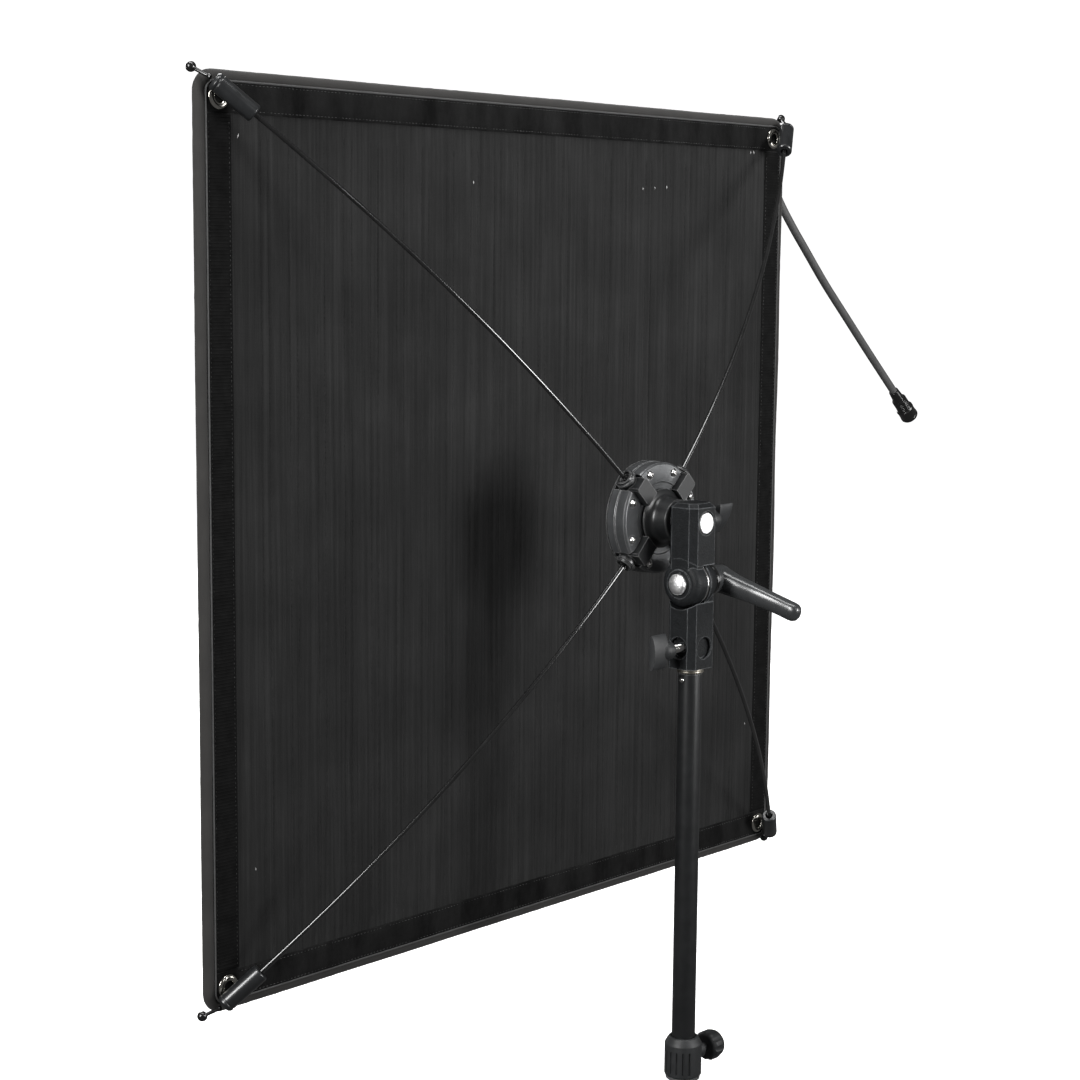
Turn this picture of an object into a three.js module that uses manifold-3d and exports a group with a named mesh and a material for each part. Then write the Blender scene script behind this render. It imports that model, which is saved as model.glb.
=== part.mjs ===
// A flat studio soft light: a quilted mat held open by a spider of four bowed rods, on a tilting
// bracket at the top of a light stand. Millimetres, +Z up. The front of the light faces -Y and the
// origin is the centre of the riser's foot.
import * as THREE from 'three';
import { mergeVertices } from 'three/addons/utils/BufferGeometryUtils.js';
import Module from 'manifold-3d';

const wasm = await Module();
wasm.setup();

// ---- driving dimensions ----
const GAP = 0.3; // left between pieces that touch

const PANEL_SIDE = 600;
const PANEL_THICK = 6.4;
const PANEL_Z = 384; // height of the panel's centre
const PANEL_BACK_Y = -152; // back face of the mat
const CORNER_R = 14;
const BINDING_WIDTH = 6.7;
const MAT_THICK = 2.4;
const LED_SIDE = 545;
const LED_THICK = 1.4;
const DIFFUSER_THICK = 1.3;
const TAPE_WIDTH = 20;
const TAPE_THICK = 0.8;
const EYELET_R = 4;
const EYELET_BARREL_R = 6;
const EYELET_FLANGE_R = 8;
const EYELET_PROUD = 2.3; // height of the flange above the mat

const HUB_RISE = 10; // the mat hangs a little below the hub
const HUB_R = 38.8;
const HUB_FRONT = 106; // depths behind the mat
const HUB_SPLIT = 108;
const HUB_FACE = 124;
const HUB_FACE_R = 38.2;
const HUB_BORE_R = 8.4;
const BOSS_R = 20.5;
const SCREW_CIRCLE_R = 33;
const SCREW_HEAD_R = 2.6;

const ROD_R = 1.6;
const ROD_ROOT_R = 40; // distance from the hub's axis where a rod leaves its socket
const ROD_ROOT_DEPTH = 116.5;
const ROD_ROOT_SLOPE = 0.093;
const SOCKET_WIDTH = 12;
const SLEEVE_R = 6;
const SLEEVE_INNER = 40; // back from the panel's corner
const SLEEVE_OUTER = 11;
const SLEEVE_INNER_DEPTH = 21;
const SLEEVE_OUTER_DEPTH = 7.4;
const BALL_R = 3.4;

const ARM_X = 27;
const ARM_Y = 24;
const ARM_CHAMFER = 4.5;
const HUB_TO_TILT = 41.5;
const TILT_TO_BLOCK_END = 58.5;
const SADDLE_R = 17.5;
const BARREL_R = 16;
const CHEEK_R = 17;
const CHEEK_END_R = 11.5; // where it meets the lever's bush
const SPINDLE_R = 8;
const BOLT_R = 4;
const WASHER_X = 0.6;
const WASHER_THICK = 1.7;
const SPINDLE_END = 164.3; // depth behind the mat
const STUD_R = 2.9;
const STUD_HOLE_R = 3.3;
const STUD_START = 8.4; // distance from the axis that a stud presses on
const SPINDLE_KNOB_X = 16;
const SPINDLE_KNOB_TURN = 0.5; // radians
const STAND_KNOB_X = 22;
const CROSS_HOLE_R = 7.2;
const LEVER_DROP = 18; // degrees below level
const LEVER_REACH = 64.5;
const LEVER_LIFT = 4; // the handle lifts this far off its teeth

const TUBE_R = 8.2;
const TUBE_WALL = 1.2;
const COLLAR_R = 13;
const COLLAR_TOP = 31;
const RING_R = 9.2;
const RING_HEIGHT = 3.4;
const COLLAR_KNOB_Z = 16;
const PLUG_TOP = 2.7;

const CABLE_R = 3.4;
const GLAND_DEPTH = 20; // how far the lead's housing reaches in front of the mat's back
const LEAD_STEPS = 18;

const HUB_Z = PANEL_Z + HUB_RISE;
const TILT_Z = HUB_Z - HUB_TO_TILT;
const BLOCK_Z = TILT_Z - TILT_TO_BLOCK_END;
const HALF = PANEL_SIDE / 2;
const EYELET_AT = HALF - BINDING_WIDTH - TAPE_WIDTH / 2;
const KNOB_Z = BLOCK_Z + 14.5; // height of the knob that clamps the spigot
const CORNERS = [
  ['top_left', -1, 1],
  ['top_right', 1, 1],
  ['bottom_left', -1, -1],
  ['bottom_right', 1, -1],
];

// ---- materials ----
const finish = (color, roughness, metalness = 0) =>
  new THREE.MeshStandardMaterial({ color, roughness, metalness });
const FABRIC = finish(0x242426, 0.95);
const BINDING = finish(0x3b3735, 0.9);
const TAPE = finish(0x141416, 1);
const CLOTH = finish(0xf2f2ee, 0.9);
const BOARD = finish(0xd8d4c0, 0.6);
const NICKEL = finish(0xc8c6c0, 0.25, 1);
const PLASTIC = finish(0x18191a, 0.4);
const POWDER = finish(0x1f2022, 0.55, 0.3);
const GLOSS = finish(0x121314, 0.2);
const STEEL = finish(0xd0d0d0, 0.2, 1);
const ROD = finish(0x1a1a1c, 0.25, 0.4);
const RUBBER = finish(0x161617, 0.7);

const light = new THREE.Group();

// ---- solids ----
function toManifold(geometry) {
  const bare = geometry.clone();
  bare.deleteAttribute('normal');
  bare.deleteAttribute('uv');
  const merged = mergeVertices(bare, 1e-4);
  return new wasm.Manifold(new wasm.Mesh({
    numProp: 3,
    vertProperties: new Float32Array(merged.attributes.position.array),
    triVerts: new Uint32Array(merged.index.array),
  }));
}

function toGeometry(solid) {
  const mesh = solid.getMesh();
  const geometry = new THREE.BufferGeometry();
  geometry.setAttribute('position', new THREE.BufferAttribute(mesh.vertProperties, 3));
  geometry.setIndex(new THREE.BufferAttribute(mesh.triVerts, 1));
  geometry.computeVertexNormals();
  return geometry;
}

function combine(base, added, removed) {
  let solid = toManifold(base);
  for (const piece of added) {
    solid = solid.add(toManifold(piece));
  }
  for (const piece of removed) {
    solid = solid.subtract(toManifold(piece));
  }
  return toGeometry(solid);
}

function piece(name, geometry, material) {
  const mesh = new THREE.Mesh(geometry, material);
  mesh.name = name;
  light.add(mesh);
  return mesh;
}

// A shape turned about an axis: profile points are [radius, distance along the axis].
function turned(profile, direction, origin, sides = 32) {
  const points = profile.map(([radius, along]) => new THREE.Vector2(radius, along));
  const geometry = new THREE.LatheGeometry(points, sides);
  const turn = new THREE.Quaternion().setFromUnitVectors(
    new THREE.Vector3(0, 1, 0), new THREE.Vector3(...direction).normalize());
  return geometry.applyQuaternion(turn).translate(...origin);
}

function drum(radius, from, to, direction, origin, sides = 32) {
  return turned([[0, from], [radius, from], [radius, to], [0, to]], direction, origin, sides);
}

function ring(inner, outer, from, to, direction, origin, sides = 32) {
  const profile = [[inner, from], [outer, from], [outer, to], [inner, to], [inner, from]];
  return turned(profile, direction, origin, sides);
}

function box(low, high) {
  const size = high.map((value, i) => value - low[i]);
  const middle = high.map((value, i) => (value + low[i]) / 2);
  return new THREE.BoxGeometry(...size).translate(...middle);
}

function roundedOutline(width, height, radius, target) {
  const x = width / 2;
  const y = height / 2;
  target.moveTo(-x + radius, -y);
  target.lineTo(x - radius, -y);
  target.absarc(x - radius, -y + radius, radius, -Math.PI / 2, 0);
  target.lineTo(x, y - radius);
  target.absarc(x - radius, y - radius, radius, 0, Math.PI / 2);
  target.lineTo(-x + radius, y);
  target.absarc(-x + radius, y - radius, radius, Math.PI / 2, Math.PI);
  target.lineTo(-x, -y + radius);
  target.absarc(-x + radius, -y + radius, radius, Math.PI, Math.PI * 1.5);
  return target;
}

// A flat layer of the panel, drawn on its face and standing from one depth to another behind the mat.
function layer(shape, fromDepth, toDepth) {
  const options = { depth: toDepth - fromDepth, bevelEnabled: false, curveSegments: 6 };
  const geometry = new THREE.ExtrudeGeometry(shape, options);
  return geometry.rotateX(Math.PI / 2).translate(0, PANEL_BACK_Y + toDepth, PANEL_Z);
}

function eyeletHole(shape, x, z) {
  const hole = new THREE.Path();
  hole.absarc(x, z, EYELET_BARREL_R + GAP, 0, Math.PI * 2);
  shape.holes.push(hole);
}

// ---- light panel ----
function panel() {
  const inner = PANEL_SIDE - 2 * BINDING_WIDTH;
  const innerR = CORNER_R - BINDING_WIDTH;
  const rim = roundedOutline(PANEL_SIDE, PANEL_SIDE, CORNER_R, new THREE.Shape());
  const opening = roundedOutline(inner, inner, innerR, new THREE.Path());
  rim.holes.push(opening);
  piece('edge_binding', layer(rim, -PANEL_THICK, 0), BINDING);

  const fabric = roundedOutline(inner - 2 * GAP, inner - 2 * GAP, innerR, new THREE.Shape());
  const plain = fabric.clone();
  for (const [, sx, sz] of CORNERS) {
    eyeletHole(fabric, sx * EYELET_AT, sz * EYELET_AT);
  }
  piece('mat_back', layer(fabric, -MAT_THICK, 0), FABRIC);

  const board = roundedOutline(LED_SIDE, LED_SIDE, 2, new THREE.Shape());
  const boardBack = -MAT_THICK - GAP;
  piece('led_board', layer(board, boardBack - LED_THICK, boardBack), BOARD);

  const clothFront = -PANEL_THICK + 0.5;
  piece('diffuser_cloth', layer(plain, clothFront, clothFront + DIFFUSER_THICK), CLOTH);
}

function tapes() {
  const long = PANEL_SIDE - 2 * BINDING_WIDTH;
  const short = long - 2 * TAPE_WIDTH - 2 * GAP;
  const at = EYELET_AT;
  const strips = [
    ['tape_top', long, TAPE_WIDTH, 0, at],
    ['tape_bottom', long, TAPE_WIDTH, 0, -at],
    ['tape_left', TAPE_WIDTH, short, -at, 0],
    ['tape_right', TAPE_WIDTH, short, at, 0],
  ];
  for (const [name, width, height, x, z] of strips) {
    const strip = roundedOutline(width, height, 2, new THREE.Shape());
    if (x === 0) {
      eyeletHole(strip, at, 0);
      eyeletHole(strip, -at, 0);
    }
    piece(name, layer(strip, GAP, GAP + TAPE_THICK).translate(x, 0, z), TAPE);
  }
}

function eyelets() {
  const flange = GAP * 2 + TAPE_THICK;
  const profile = [
    [EYELET_R, -MAT_THICK + GAP],
    [EYELET_BARREL_R, -MAT_THICK + GAP],
    [EYELET_BARREL_R, flange],
    [EYELET_FLANGE_R, flange],
    [EYELET_FLANGE_R - 0.7, EYELET_PROUD],
    [EYELET_R + 0.5, EYELET_PROUD],
    [EYELET_R, -MAT_THICK + GAP],
  ];
  for (const [corner, sx, sz] of CORNERS) {
    const centre = [sx * EYELET_AT, PANEL_BACK_Y, PANEL_Z + sz * EYELET_AT];
    piece(`eyelet_${corner}`, turned(profile, [0, 1, 0], centre, 16), NICKEL);
  }
}

// ---- spider ----
// The upright plane through the hub's axis and one corner of the panel.
function cornerPlane(sx, sz) {
  const toCorner = new THREE.Vector2(sx * HALF, sz * HALF - HUB_RISE);
  const length = toCorner.length();
  const along = toCorner.clone().normalize();
  const point = (radial, depth) => new THREE.Vector3(
    along.x * radial, PANEL_BACK_Y + depth, HUB_Z + along.y * radial);
  return { length, along, point };
}

function direction(from, to) {
  return to.clone().sub(from).normalize();
}

function rod(corner, plane) {
  const innerEnd = plane.length - SLEEVE_INNER;
  const span = innerEnd - ROD_ROOT_R;
  const bend = new THREE.QuadraticBezierCurve3(
    plane.point(ROD_ROOT_R, ROD_ROOT_DEPTH),
    plane.point(ROD_ROOT_R + span / 2, ROD_ROOT_DEPTH - ROD_ROOT_SLOPE * span / 2),
    plane.point(innerEnd, SLEEVE_INNER_DEPTH));
  const points = bend.getPoints(10);
  const inSocket = 8;
  const inSleeve = 12;
  const root = points[0].clone().addScaledVector(direction(points[1], points[0]), inSocket);
  const sleeveEnd = plane.point(plane.length - SLEEVE_OUTER, SLEEVE_OUTER_DEPTH);
  const tip = points[10].clone().addScaledVector(direction(points[10], sleeveEnd), inSleeve);
  const path = new THREE.CatmullRomCurve3([root, ...points, tip]);
  const section = new THREE.Shape().absarc(0, 0, ROD_R, 0, Math.PI * 2);
  const options = { steps: 20, curveSegments: 4, bevelEnabled: false, extrudePath: path };
  piece(`rod_${corner}`, new THREE.ExtrudeGeometry(section, options), ROD);
}

function sleeveAndTip(corner, plane) {
  const inner = plane.point(plane.length - SLEEVE_INNER, SLEEVE_INNER_DEPTH);
  const outer = plane.point(plane.length - SLEEVE_OUTER, SLEEVE_OUTER_DEPTH);
  const length = inner.distanceTo(outer);
  const boreR = ROD_R + 0.6;
  const boreDepth = 13.5;
  const sleeve = [
    [0, boreDepth],
    [boreR, boreDepth],
    [boreR, 0],
    [SLEEVE_R - 0.8, 0],
    [SLEEVE_R, 0.8],
    [SLEEVE_R, length - 1.5],
    [SLEEVE_R - 1.5, length],
    [0, length],
  ];
  const axis = direction(inner, outer);
  piece(`sleeve_${corner}`, turned(sleeve, axis, inner.toArray(), 14), PLASTIC);

  const neckStart = outer.clone().addScaledVector(axis, 2.4);
  const ball = plane.point(plane.length + 0.4, -4.5);
  const reach = neckStart.distanceTo(ball);
  const tip = [[0, 0], [1.8, 0], [1.2, 2.5]];
  for (let step = 2; step <= 6; step += 1) {
    const angle = Math.PI * (1 - step / 6) * 0.98;
    tip.push([BALL_R * Math.sin(angle), reach - BALL_R * Math.cos(Math.PI - angle)]);
  }
  tip[tip.length - 1] = [0, reach + BALL_R];
  piece(`tip_${corner}`, turned(tip, direction(neckStart, ball), neckStart.toArray(), 10), PLASTIC);
}

function socketShape(plane, width, innerRadius, outerRadius, lowDepth, highDepth) {
  const depths = { depth: highDepth - lowDepth, bevelEnabled: false };
  const outline = new THREE.Shape();
  outline.moveTo(innerRadius, -width / 2);
  outline.lineTo(outerRadius, -width / 2);
  outline.lineTo(outerRadius, width / 2);
  outline.lineTo(innerRadius, width / 2);
  outline.closePath();
  const angle = Math.atan2(plane.along.y, plane.along.x);
  const geometry = new THREE.ExtrudeGeometry(outline, depths).rotateZ(angle);
  return geometry.rotateX(Math.PI / 2).translate(0, PANEL_BACK_Y + highDepth, HUB_Z);
}

function socket(corner, plane) {
  const block = socketShape(plane, SOCKET_WIDTH, BOSS_R + GAP, 37.5, 111.6, 127);
  const start = plane.point(36, ROD_ROOT_DEPTH + ROD_ROOT_SLOPE * 4);
  const root = plane.point(ROD_ROOT_R, ROD_ROOT_DEPTH);
  const out = direction(start, root);
  const cup = drum(6.1, 0, 7, out.toArray(), start.toArray(), 16);
  const lip = drum(6.9, 3.4, 5.2, out.toArray(), start.toArray(), 16);
  const bore = drum(ROD_R + 0.5, -4.6, 8, out.toArray(), start.toArray(), 8);
  piece(`socket_${corner}`, combine(block, [cup, lip], [bore]), POWDER);
}

function hub() {
  const axis = [0, 1, 0];
  const centre = [0, PANEL_BACK_Y, HUB_Z];
  const base = [
    [HUB_BORE_R, HUB_FRONT],
    [HUB_R - 1.4, HUB_FRONT],
    [HUB_R, HUB_FRONT + 1.4],
    [HUB_R, HUB_SPLIT],
    [HUB_BORE_R, HUB_SPLIT],
    [HUB_BORE_R, HUB_FRONT],
  ];
  piece('hub_base', turned(base, axis, centre, 32), POWDER);

  const low = HUB_SPLIT + GAP;
  const cover = [
    [HUB_BORE_R, low],
    [HUB_R, low],
    [HUB_R, 115],
    [HUB_FACE_R, 115.6],
    [HUB_FACE_R, HUB_FACE - 1.2],
    [HUB_FACE_R - 1.2, HUB_FACE],
    [HUB_BORE_R, HUB_FACE],
    [HUB_BORE_R, low],
  ];
  const slots = CORNERS.map(([, sx, sz]) => socketShape(
    cornerPlane(sx, sz), SOCKET_WIDTH + 2 * GAP, BOSS_R, HUB_R + 5, 111.3, HUB_FACE + 1));
  const cupRooms = CORNERS.map(([, sx, sz]) => socketShape(
    cornerPlane(sx, sz), 14.6, 34.8, HUB_R + 5, 109.2, HUB_FACE + 1));
  const coverSolid = combine(turned(cover, axis, centre, 32), [], [...slots, ...cupRooms]);
  piece('hub_cover', coverSolid, POWDER);

  const boss = [
    [HUB_BORE_R, HUB_FACE + GAP],
    [BOSS_R, HUB_FACE + GAP],
    [BOSS_R, HUB_FACE + 3],
    [15.5, HUB_FACE + 4.5],
    [15.5, HUB_FACE + 9.5],
    [13.5, HUB_FACE + 10.5],
    [13.5, HUB_FACE + 15.7],
    [HUB_BORE_R, HUB_FACE + 15.7],
    [HUB_BORE_R, HUB_FACE + GAP],
  ];
  piece('hub_boss', turned(boss, axis, centre, 24), GLOSS);

  const spindle = [
    [0, HUB_FRONT + 1],
    [SPINDLE_R, HUB_FRONT + 1],
    [SPINDLE_R, SPINDLE_END - 1.1],
    [SPINDLE_R - 1.1, SPINDLE_END],
    [0, SPINDLE_END],
  ];
  piece('spindle', turned(spindle, axis, centre, 24), STEEL);

  for (let index = 0; index < 8; index += 1) {
    const angle = Math.PI / 8 + index * Math.PI / 4;
    const x = SCREW_CIRCLE_R * Math.cos(angle);
    const z = SCREW_CIRCLE_R * Math.sin(angle);
    const head = [
      [0, HUB_FACE + GAP],
      [SCREW_HEAD_R, HUB_FACE + GAP],
      [SCREW_HEAD_R * 0.8, HUB_FACE + 1.5],
      [0, HUB_FACE + 2.1],
    ];
    const seat = [x, PANEL_BACK_Y, HUB_Z + z];
    piece(`hub_screw_${index + 1}`, turned(head, axis, seat, 8), STEEL);
  }
}

// ---- tilting bracket ----
function bar(fromZ, toZ) {
  const x = ARM_X / 2;
  const y = ARM_Y / 2;
  const c = ARM_CHAMFER;
  const outline = new THREE.Shape();
  outline.moveTo(-x + c, -y);
  outline.lineTo(x - c, -y);
  outline.lineTo(x, -y + c);
  outline.lineTo(x, y - c);
  outline.lineTo(x - c, y);
  outline.lineTo(-x + c, y);
  outline.lineTo(-x, y - c);
  outline.lineTo(-x, -y + c);
  outline.closePath();
  const options = { depth: toZ - fromZ, bevelEnabled: false };
  return new THREE.ExtrudeGeometry(outline, options).translate(0, 0, fromZ);
}

// Draws the top end of a bar in towards its middle, as a bevel all round.
function bevelTop(geometry, topZ, scale) {
  const position = geometry.attributes.position;
  for (let i = 0; i < position.count; i += 1) {
    if (position.getZ(i) > topZ - 0.01) {
      position.setXY(i, position.getX(i) * scale, position.getY(i) * scale);
    }
  }
  return geometry;
}

function upperArm() {
  const tilt = [0, 0, TILT_Z];
  const alongX = [1, 0, 0];
  const side = ARM_X / 2;
  const top = HUB_Z + side;
  const bevel = 3;
  const column = bar(TILT_Z + 5, top - bevel);
  const cap = bevelTop(bar(top - bevel, top), top, (side - bevel) / side);
  const tongueX = WASHER_X + WASHER_THICK + GAP;
  const low = [tongueX, -ARM_Y / 2, TILT_Z];
  const high = [side, ARM_Y / 2, TILT_Z + SADDLE_R + 1];
  const barrel = drum(BARREL_R, tongueX, side, alongX, tilt, 32);
  const collar = drum(10, side - 1, side + 1, alongX, tilt, 24);
  let solid = toManifold(combine(column, [cap], [drum(SADDLE_R, -20, 20, alongX, tilt, 32)]));
  for (const added of [box(low, high), barrel, collar]) {
    solid = solid.add(toManifold(added));
  }
  const holes = [
    drum(BOLT_R + 0.4, -20, 20, alongX, tilt, 16),
    drum(SPINDLE_R + GAP, -20, 20, [0, 1, 0], [0, 0, HUB_Z], 24),
    drum(STUD_HOLE_R, 0, 20, [-1, 0, 0], [0, 0, HUB_Z], 12),
  ];
  for (const hole of holes) {
    solid = solid.subtract(toManifold(hole));
  }
  piece('upper_arm', toGeometry(solid), POWDER);

  const washer = ring(BOLT_R + 0.4, BARREL_R, WASHER_X, WASHER_X + WASHER_THICK, alongX, tilt, 28);
  piece('tilt_washer', washer, STEEL);

  const headStart = side + 1 + GAP;
  const bolt = [
    [0, -16.5],
    [BOLT_R, -16.5],
    [BOLT_R, headStart],
    [7.6, headStart],
    [7.6, headStart + 1.6],
    [6, headStart + 3.2],
    [3, headStart + 4.1],
    [0, headStart + 4.3],
  ];
  piece('tilt_bolt', turned(bolt, alongX, tilt, 20), STEEL);
}

function lowerBlock() {
  const tilt = [0, 0, TILT_Z];
  const alongX = [1, 0, 0];
  const column = toManifold(bar(BLOCK_Z, TILT_Z - 5));
  const saddle = toManifold(drum(SADDLE_R, -20, 20, alongX, tilt, 32));
  const cheekX = WASHER_X - GAP;
  const webEnd = box([cheekX, -ARM_Y, TILT_Z - SADDLE_R - 2], [ARM_X, ARM_Y, TILT_Z + 1]);
  const web = toManifold(bar(TILT_Z - SADDLE_R - 1, TILT_Z)).subtract(toManifold(webEnd));
  const cheek = turned([
    [0, -ARM_X / 2],
    [CHEEK_END_R, -ARM_X / 2],
    [CHEEK_R, cheekX - 3],
    [CHEEK_R, cheekX],
    [0, cheekX],
  ], alongX, tilt, 32);
  const spigotBore = drum(SPINDLE_R + GAP, -1, 39, [0, 0, 1], [0, 0, BLOCK_Z], 24);
  const knobRecess = drum(CROSS_HOLE_R, 9.5, 20, alongX, [0, 0, KNOB_Z], 20);
  const studHole = drum(STUD_HOLE_R, 0, 20, alongX, [0, 0, KNOB_Z], 12);
  const crossHole = drum(CROSS_HOLE_R, 6, 20, [0, 1, 0], [0, 0, KNOB_Z], 20);
  const boltHole = drum(BOLT_R + 0.4, -20, 20, alongX, tilt, 24);
  let solid = column.subtract(saddle).add(web).add(toManifold(cheek));
  for (const hole of [spigotBore, knobRecess, studHole, crossHole, boltHole]) {
    solid = solid.subtract(toManifold(hole));
  }
  piece('lower_block', toGeometry(solid), POWDER);
}

// A T-shaped knob: a round boss and a lens-shaped wing across its end.
function wingKnob(name, side, z, bossStart, turn) {
  const axis = [side, 0, 0];
  const bossLength = 8;
  const wingDepth = 14;
  const halfWing = 12;
  const halfThick = 3.6;
  const bulge = (halfWing ** 2 + halfThick ** 2) / (2 * halfThick);
  const spread = Math.asin(halfWing / bulge);
  const lens = new THREE.Shape();
  lens.absarc(0, halfThick - bulge, bulge, Math.PI / 2 - spread, Math.PI / 2 + spread);
  lens.absarc(0, bulge - halfThick, bulge, Math.PI * 1.5 - spread, Math.PI * 1.5 + spread);
  const options = { depth: wingDepth, bevelEnabled: false, curveSegments: 5 };
  const wing = new THREE.ExtrudeGeometry(lens, options).rotateZ(turn).rotateY(side * Math.PI / 2);
  wing.translate(side * (bossStart + bossLength - 2), 0, z);
  const boss = turned([[0, 0], [5.5, 0], [6.5, 2], [6.5, 7], [4, 10], [0, 10]],
    axis, [side * bossStart, 0, z], 16);
  piece(name, combine(wing, [boss], []), PLASTIC);
}

function knobs() {
  wingKnob('spindle_knob', -1, HUB_Z, SPINDLE_KNOB_X, SPINDLE_KNOB_TURN);
  const spindleStud = drum(STUD_R, STUD_START, SPINDLE_KNOB_X - GAP, [-1, 0, 0], [0, 0, HUB_Z], 14);
  piece('spindle_knob_stud', spindleStud, STEEL);

  wingKnob('stand_knob', 1, KNOB_Z, STAND_KNOB_X, 0);
  const standStud = drum(STUD_R, STUD_START, STAND_KNOB_X - GAP, [1, 0, 0], [0, 0, KNOB_Z], 14);
  piece('stand_knob_stud', standStud, STEEL);
}

// An arm along a path, with an oval section: widthAt gives half its width from 0 to 1 along it.
function ovalArm(path, sections, widthAt, halfThick) {
  const circle = new THREE.Shape().absarc(0, 0, 1, 0, Math.PI * 2);
  const options = { steps: sections, curveSegments: 5, bevelEnabled: false, extrudePath: path };
  const geometry = new THREE.ExtrudeGeometry(circle, options);
  const frames = path.computeFrenetFrames(sections, false);
  const centres = path.getSpacedPoints(sections);
  const position = geometry.attributes.position;
  const vertex = new THREE.Vector3();
  for (let i = 0; i < position.count; i += 1) {
    vertex.fromBufferAttribute(position, i);
    const distances = centres.map((centre) => centre.distanceTo(vertex));
    const at = distances.indexOf(Math.min(...distances));
    const offset = vertex.clone().sub(centres[at]);
    const across = offset.dot(frames.binormals[at]) * widthAt(at / sections);
    const thick = offset.dot(frames.normals[at]) * halfThick;
    vertex.copy(centres[at]);
    vertex.addScaledVector(frames.binormals[at], across);
    vertex.addScaledVector(frames.normals[at], thick);
    position.setXYZ(i, vertex.x, vertex.y, vertex.z);
  }
  return geometry;
}

// The clamping lever: a bush on the tilt bolt and a handle that lifts off its teeth to be set again.
function lever() {
  const tilt = [0, 0, TILT_Z];
  const outward = [-1, 0, 0];
  const boltRoomR = BOLT_R + 0.4;
  const splineR = 5.4;
  const bushStart = ARM_X / 2 + GAP;
  const handleStart = bushStart + 3.6;
  const handleEnd = handleStart + 19;
  const splineEnd = handleStart + 3.8;
  const boreEnd = handleStart + 6;
  const recessFloor = handleStart + 11.5;
  const bush = [
    [boltRoomR, bushStart],
    [11.5, bushStart],
    [11.5, handleStart - GAP],
    [splineR, handleStart - GAP],
    [splineR, splineEnd],
    [boltRoomR, splineEnd],
    [boltRoomR, bushStart],
  ];
  piece('lever_bush', turned(bush, outward, tilt, 24), GLOSS);

  const base = [
    [0, handleStart],
    [9.9, handleStart],
    [10.2, handleStart + 2],
    [9.2, handleEnd - 3],
    [6.5, handleEnd],
    [0, handleEnd],
  ];
  const drop = LEVER_DROP * Math.PI / 180;
  const armPoint = (reach, out) => new THREE.Vector3(
    -(handleStart + out), reach * Math.cos(drop), TILT_Z - reach * Math.sin(drop));
  const path = new THREE.CatmullRomCurve3([
    armPoint(0, 11),
    armPoint(15, 13.5),
    armPoint(30, 17.5),
    armPoint(45, 20.3),
    armPoint(LEVER_REACH - 6, 22),
  ]);
  const arm = ovalArm(path, 9, (t) => 7.2 - 1.4 * Math.sin(Math.PI * t), 5.4);
  const end = path.getPoint(1);
  const ball = new THREE.SphereGeometry(6.4, 12, 8).translate(end.x, end.y, end.z);
  const handle = combine(turned(base, outward, tilt, 24), [arm, ball], [
    drum(splineR + 0.5, handleStart - 2, boreEnd, outward, tilt, 20),
    drum(2.4, boreEnd - 1, recessFloor + 1, outward, tilt, 12),
    drum(4.6, recessFloor, handleEnd + 2, outward, tilt, 16),
  ]);
  piece('clamp_lever', handle, GLOSS);

  const headSeat = recessFloor + LEVER_LIFT + GAP;
  const screw = [
    [0, splineEnd + GAP],
    [2, splineEnd + GAP],
    [2, headSeat],
    [4, headSeat],
    [4, headSeat + 1.7],
    [0, headSeat + 1.7],
  ];
  piece('lever_screw', turned(screw, outward, tilt, 12), STEEL);
}

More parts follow.
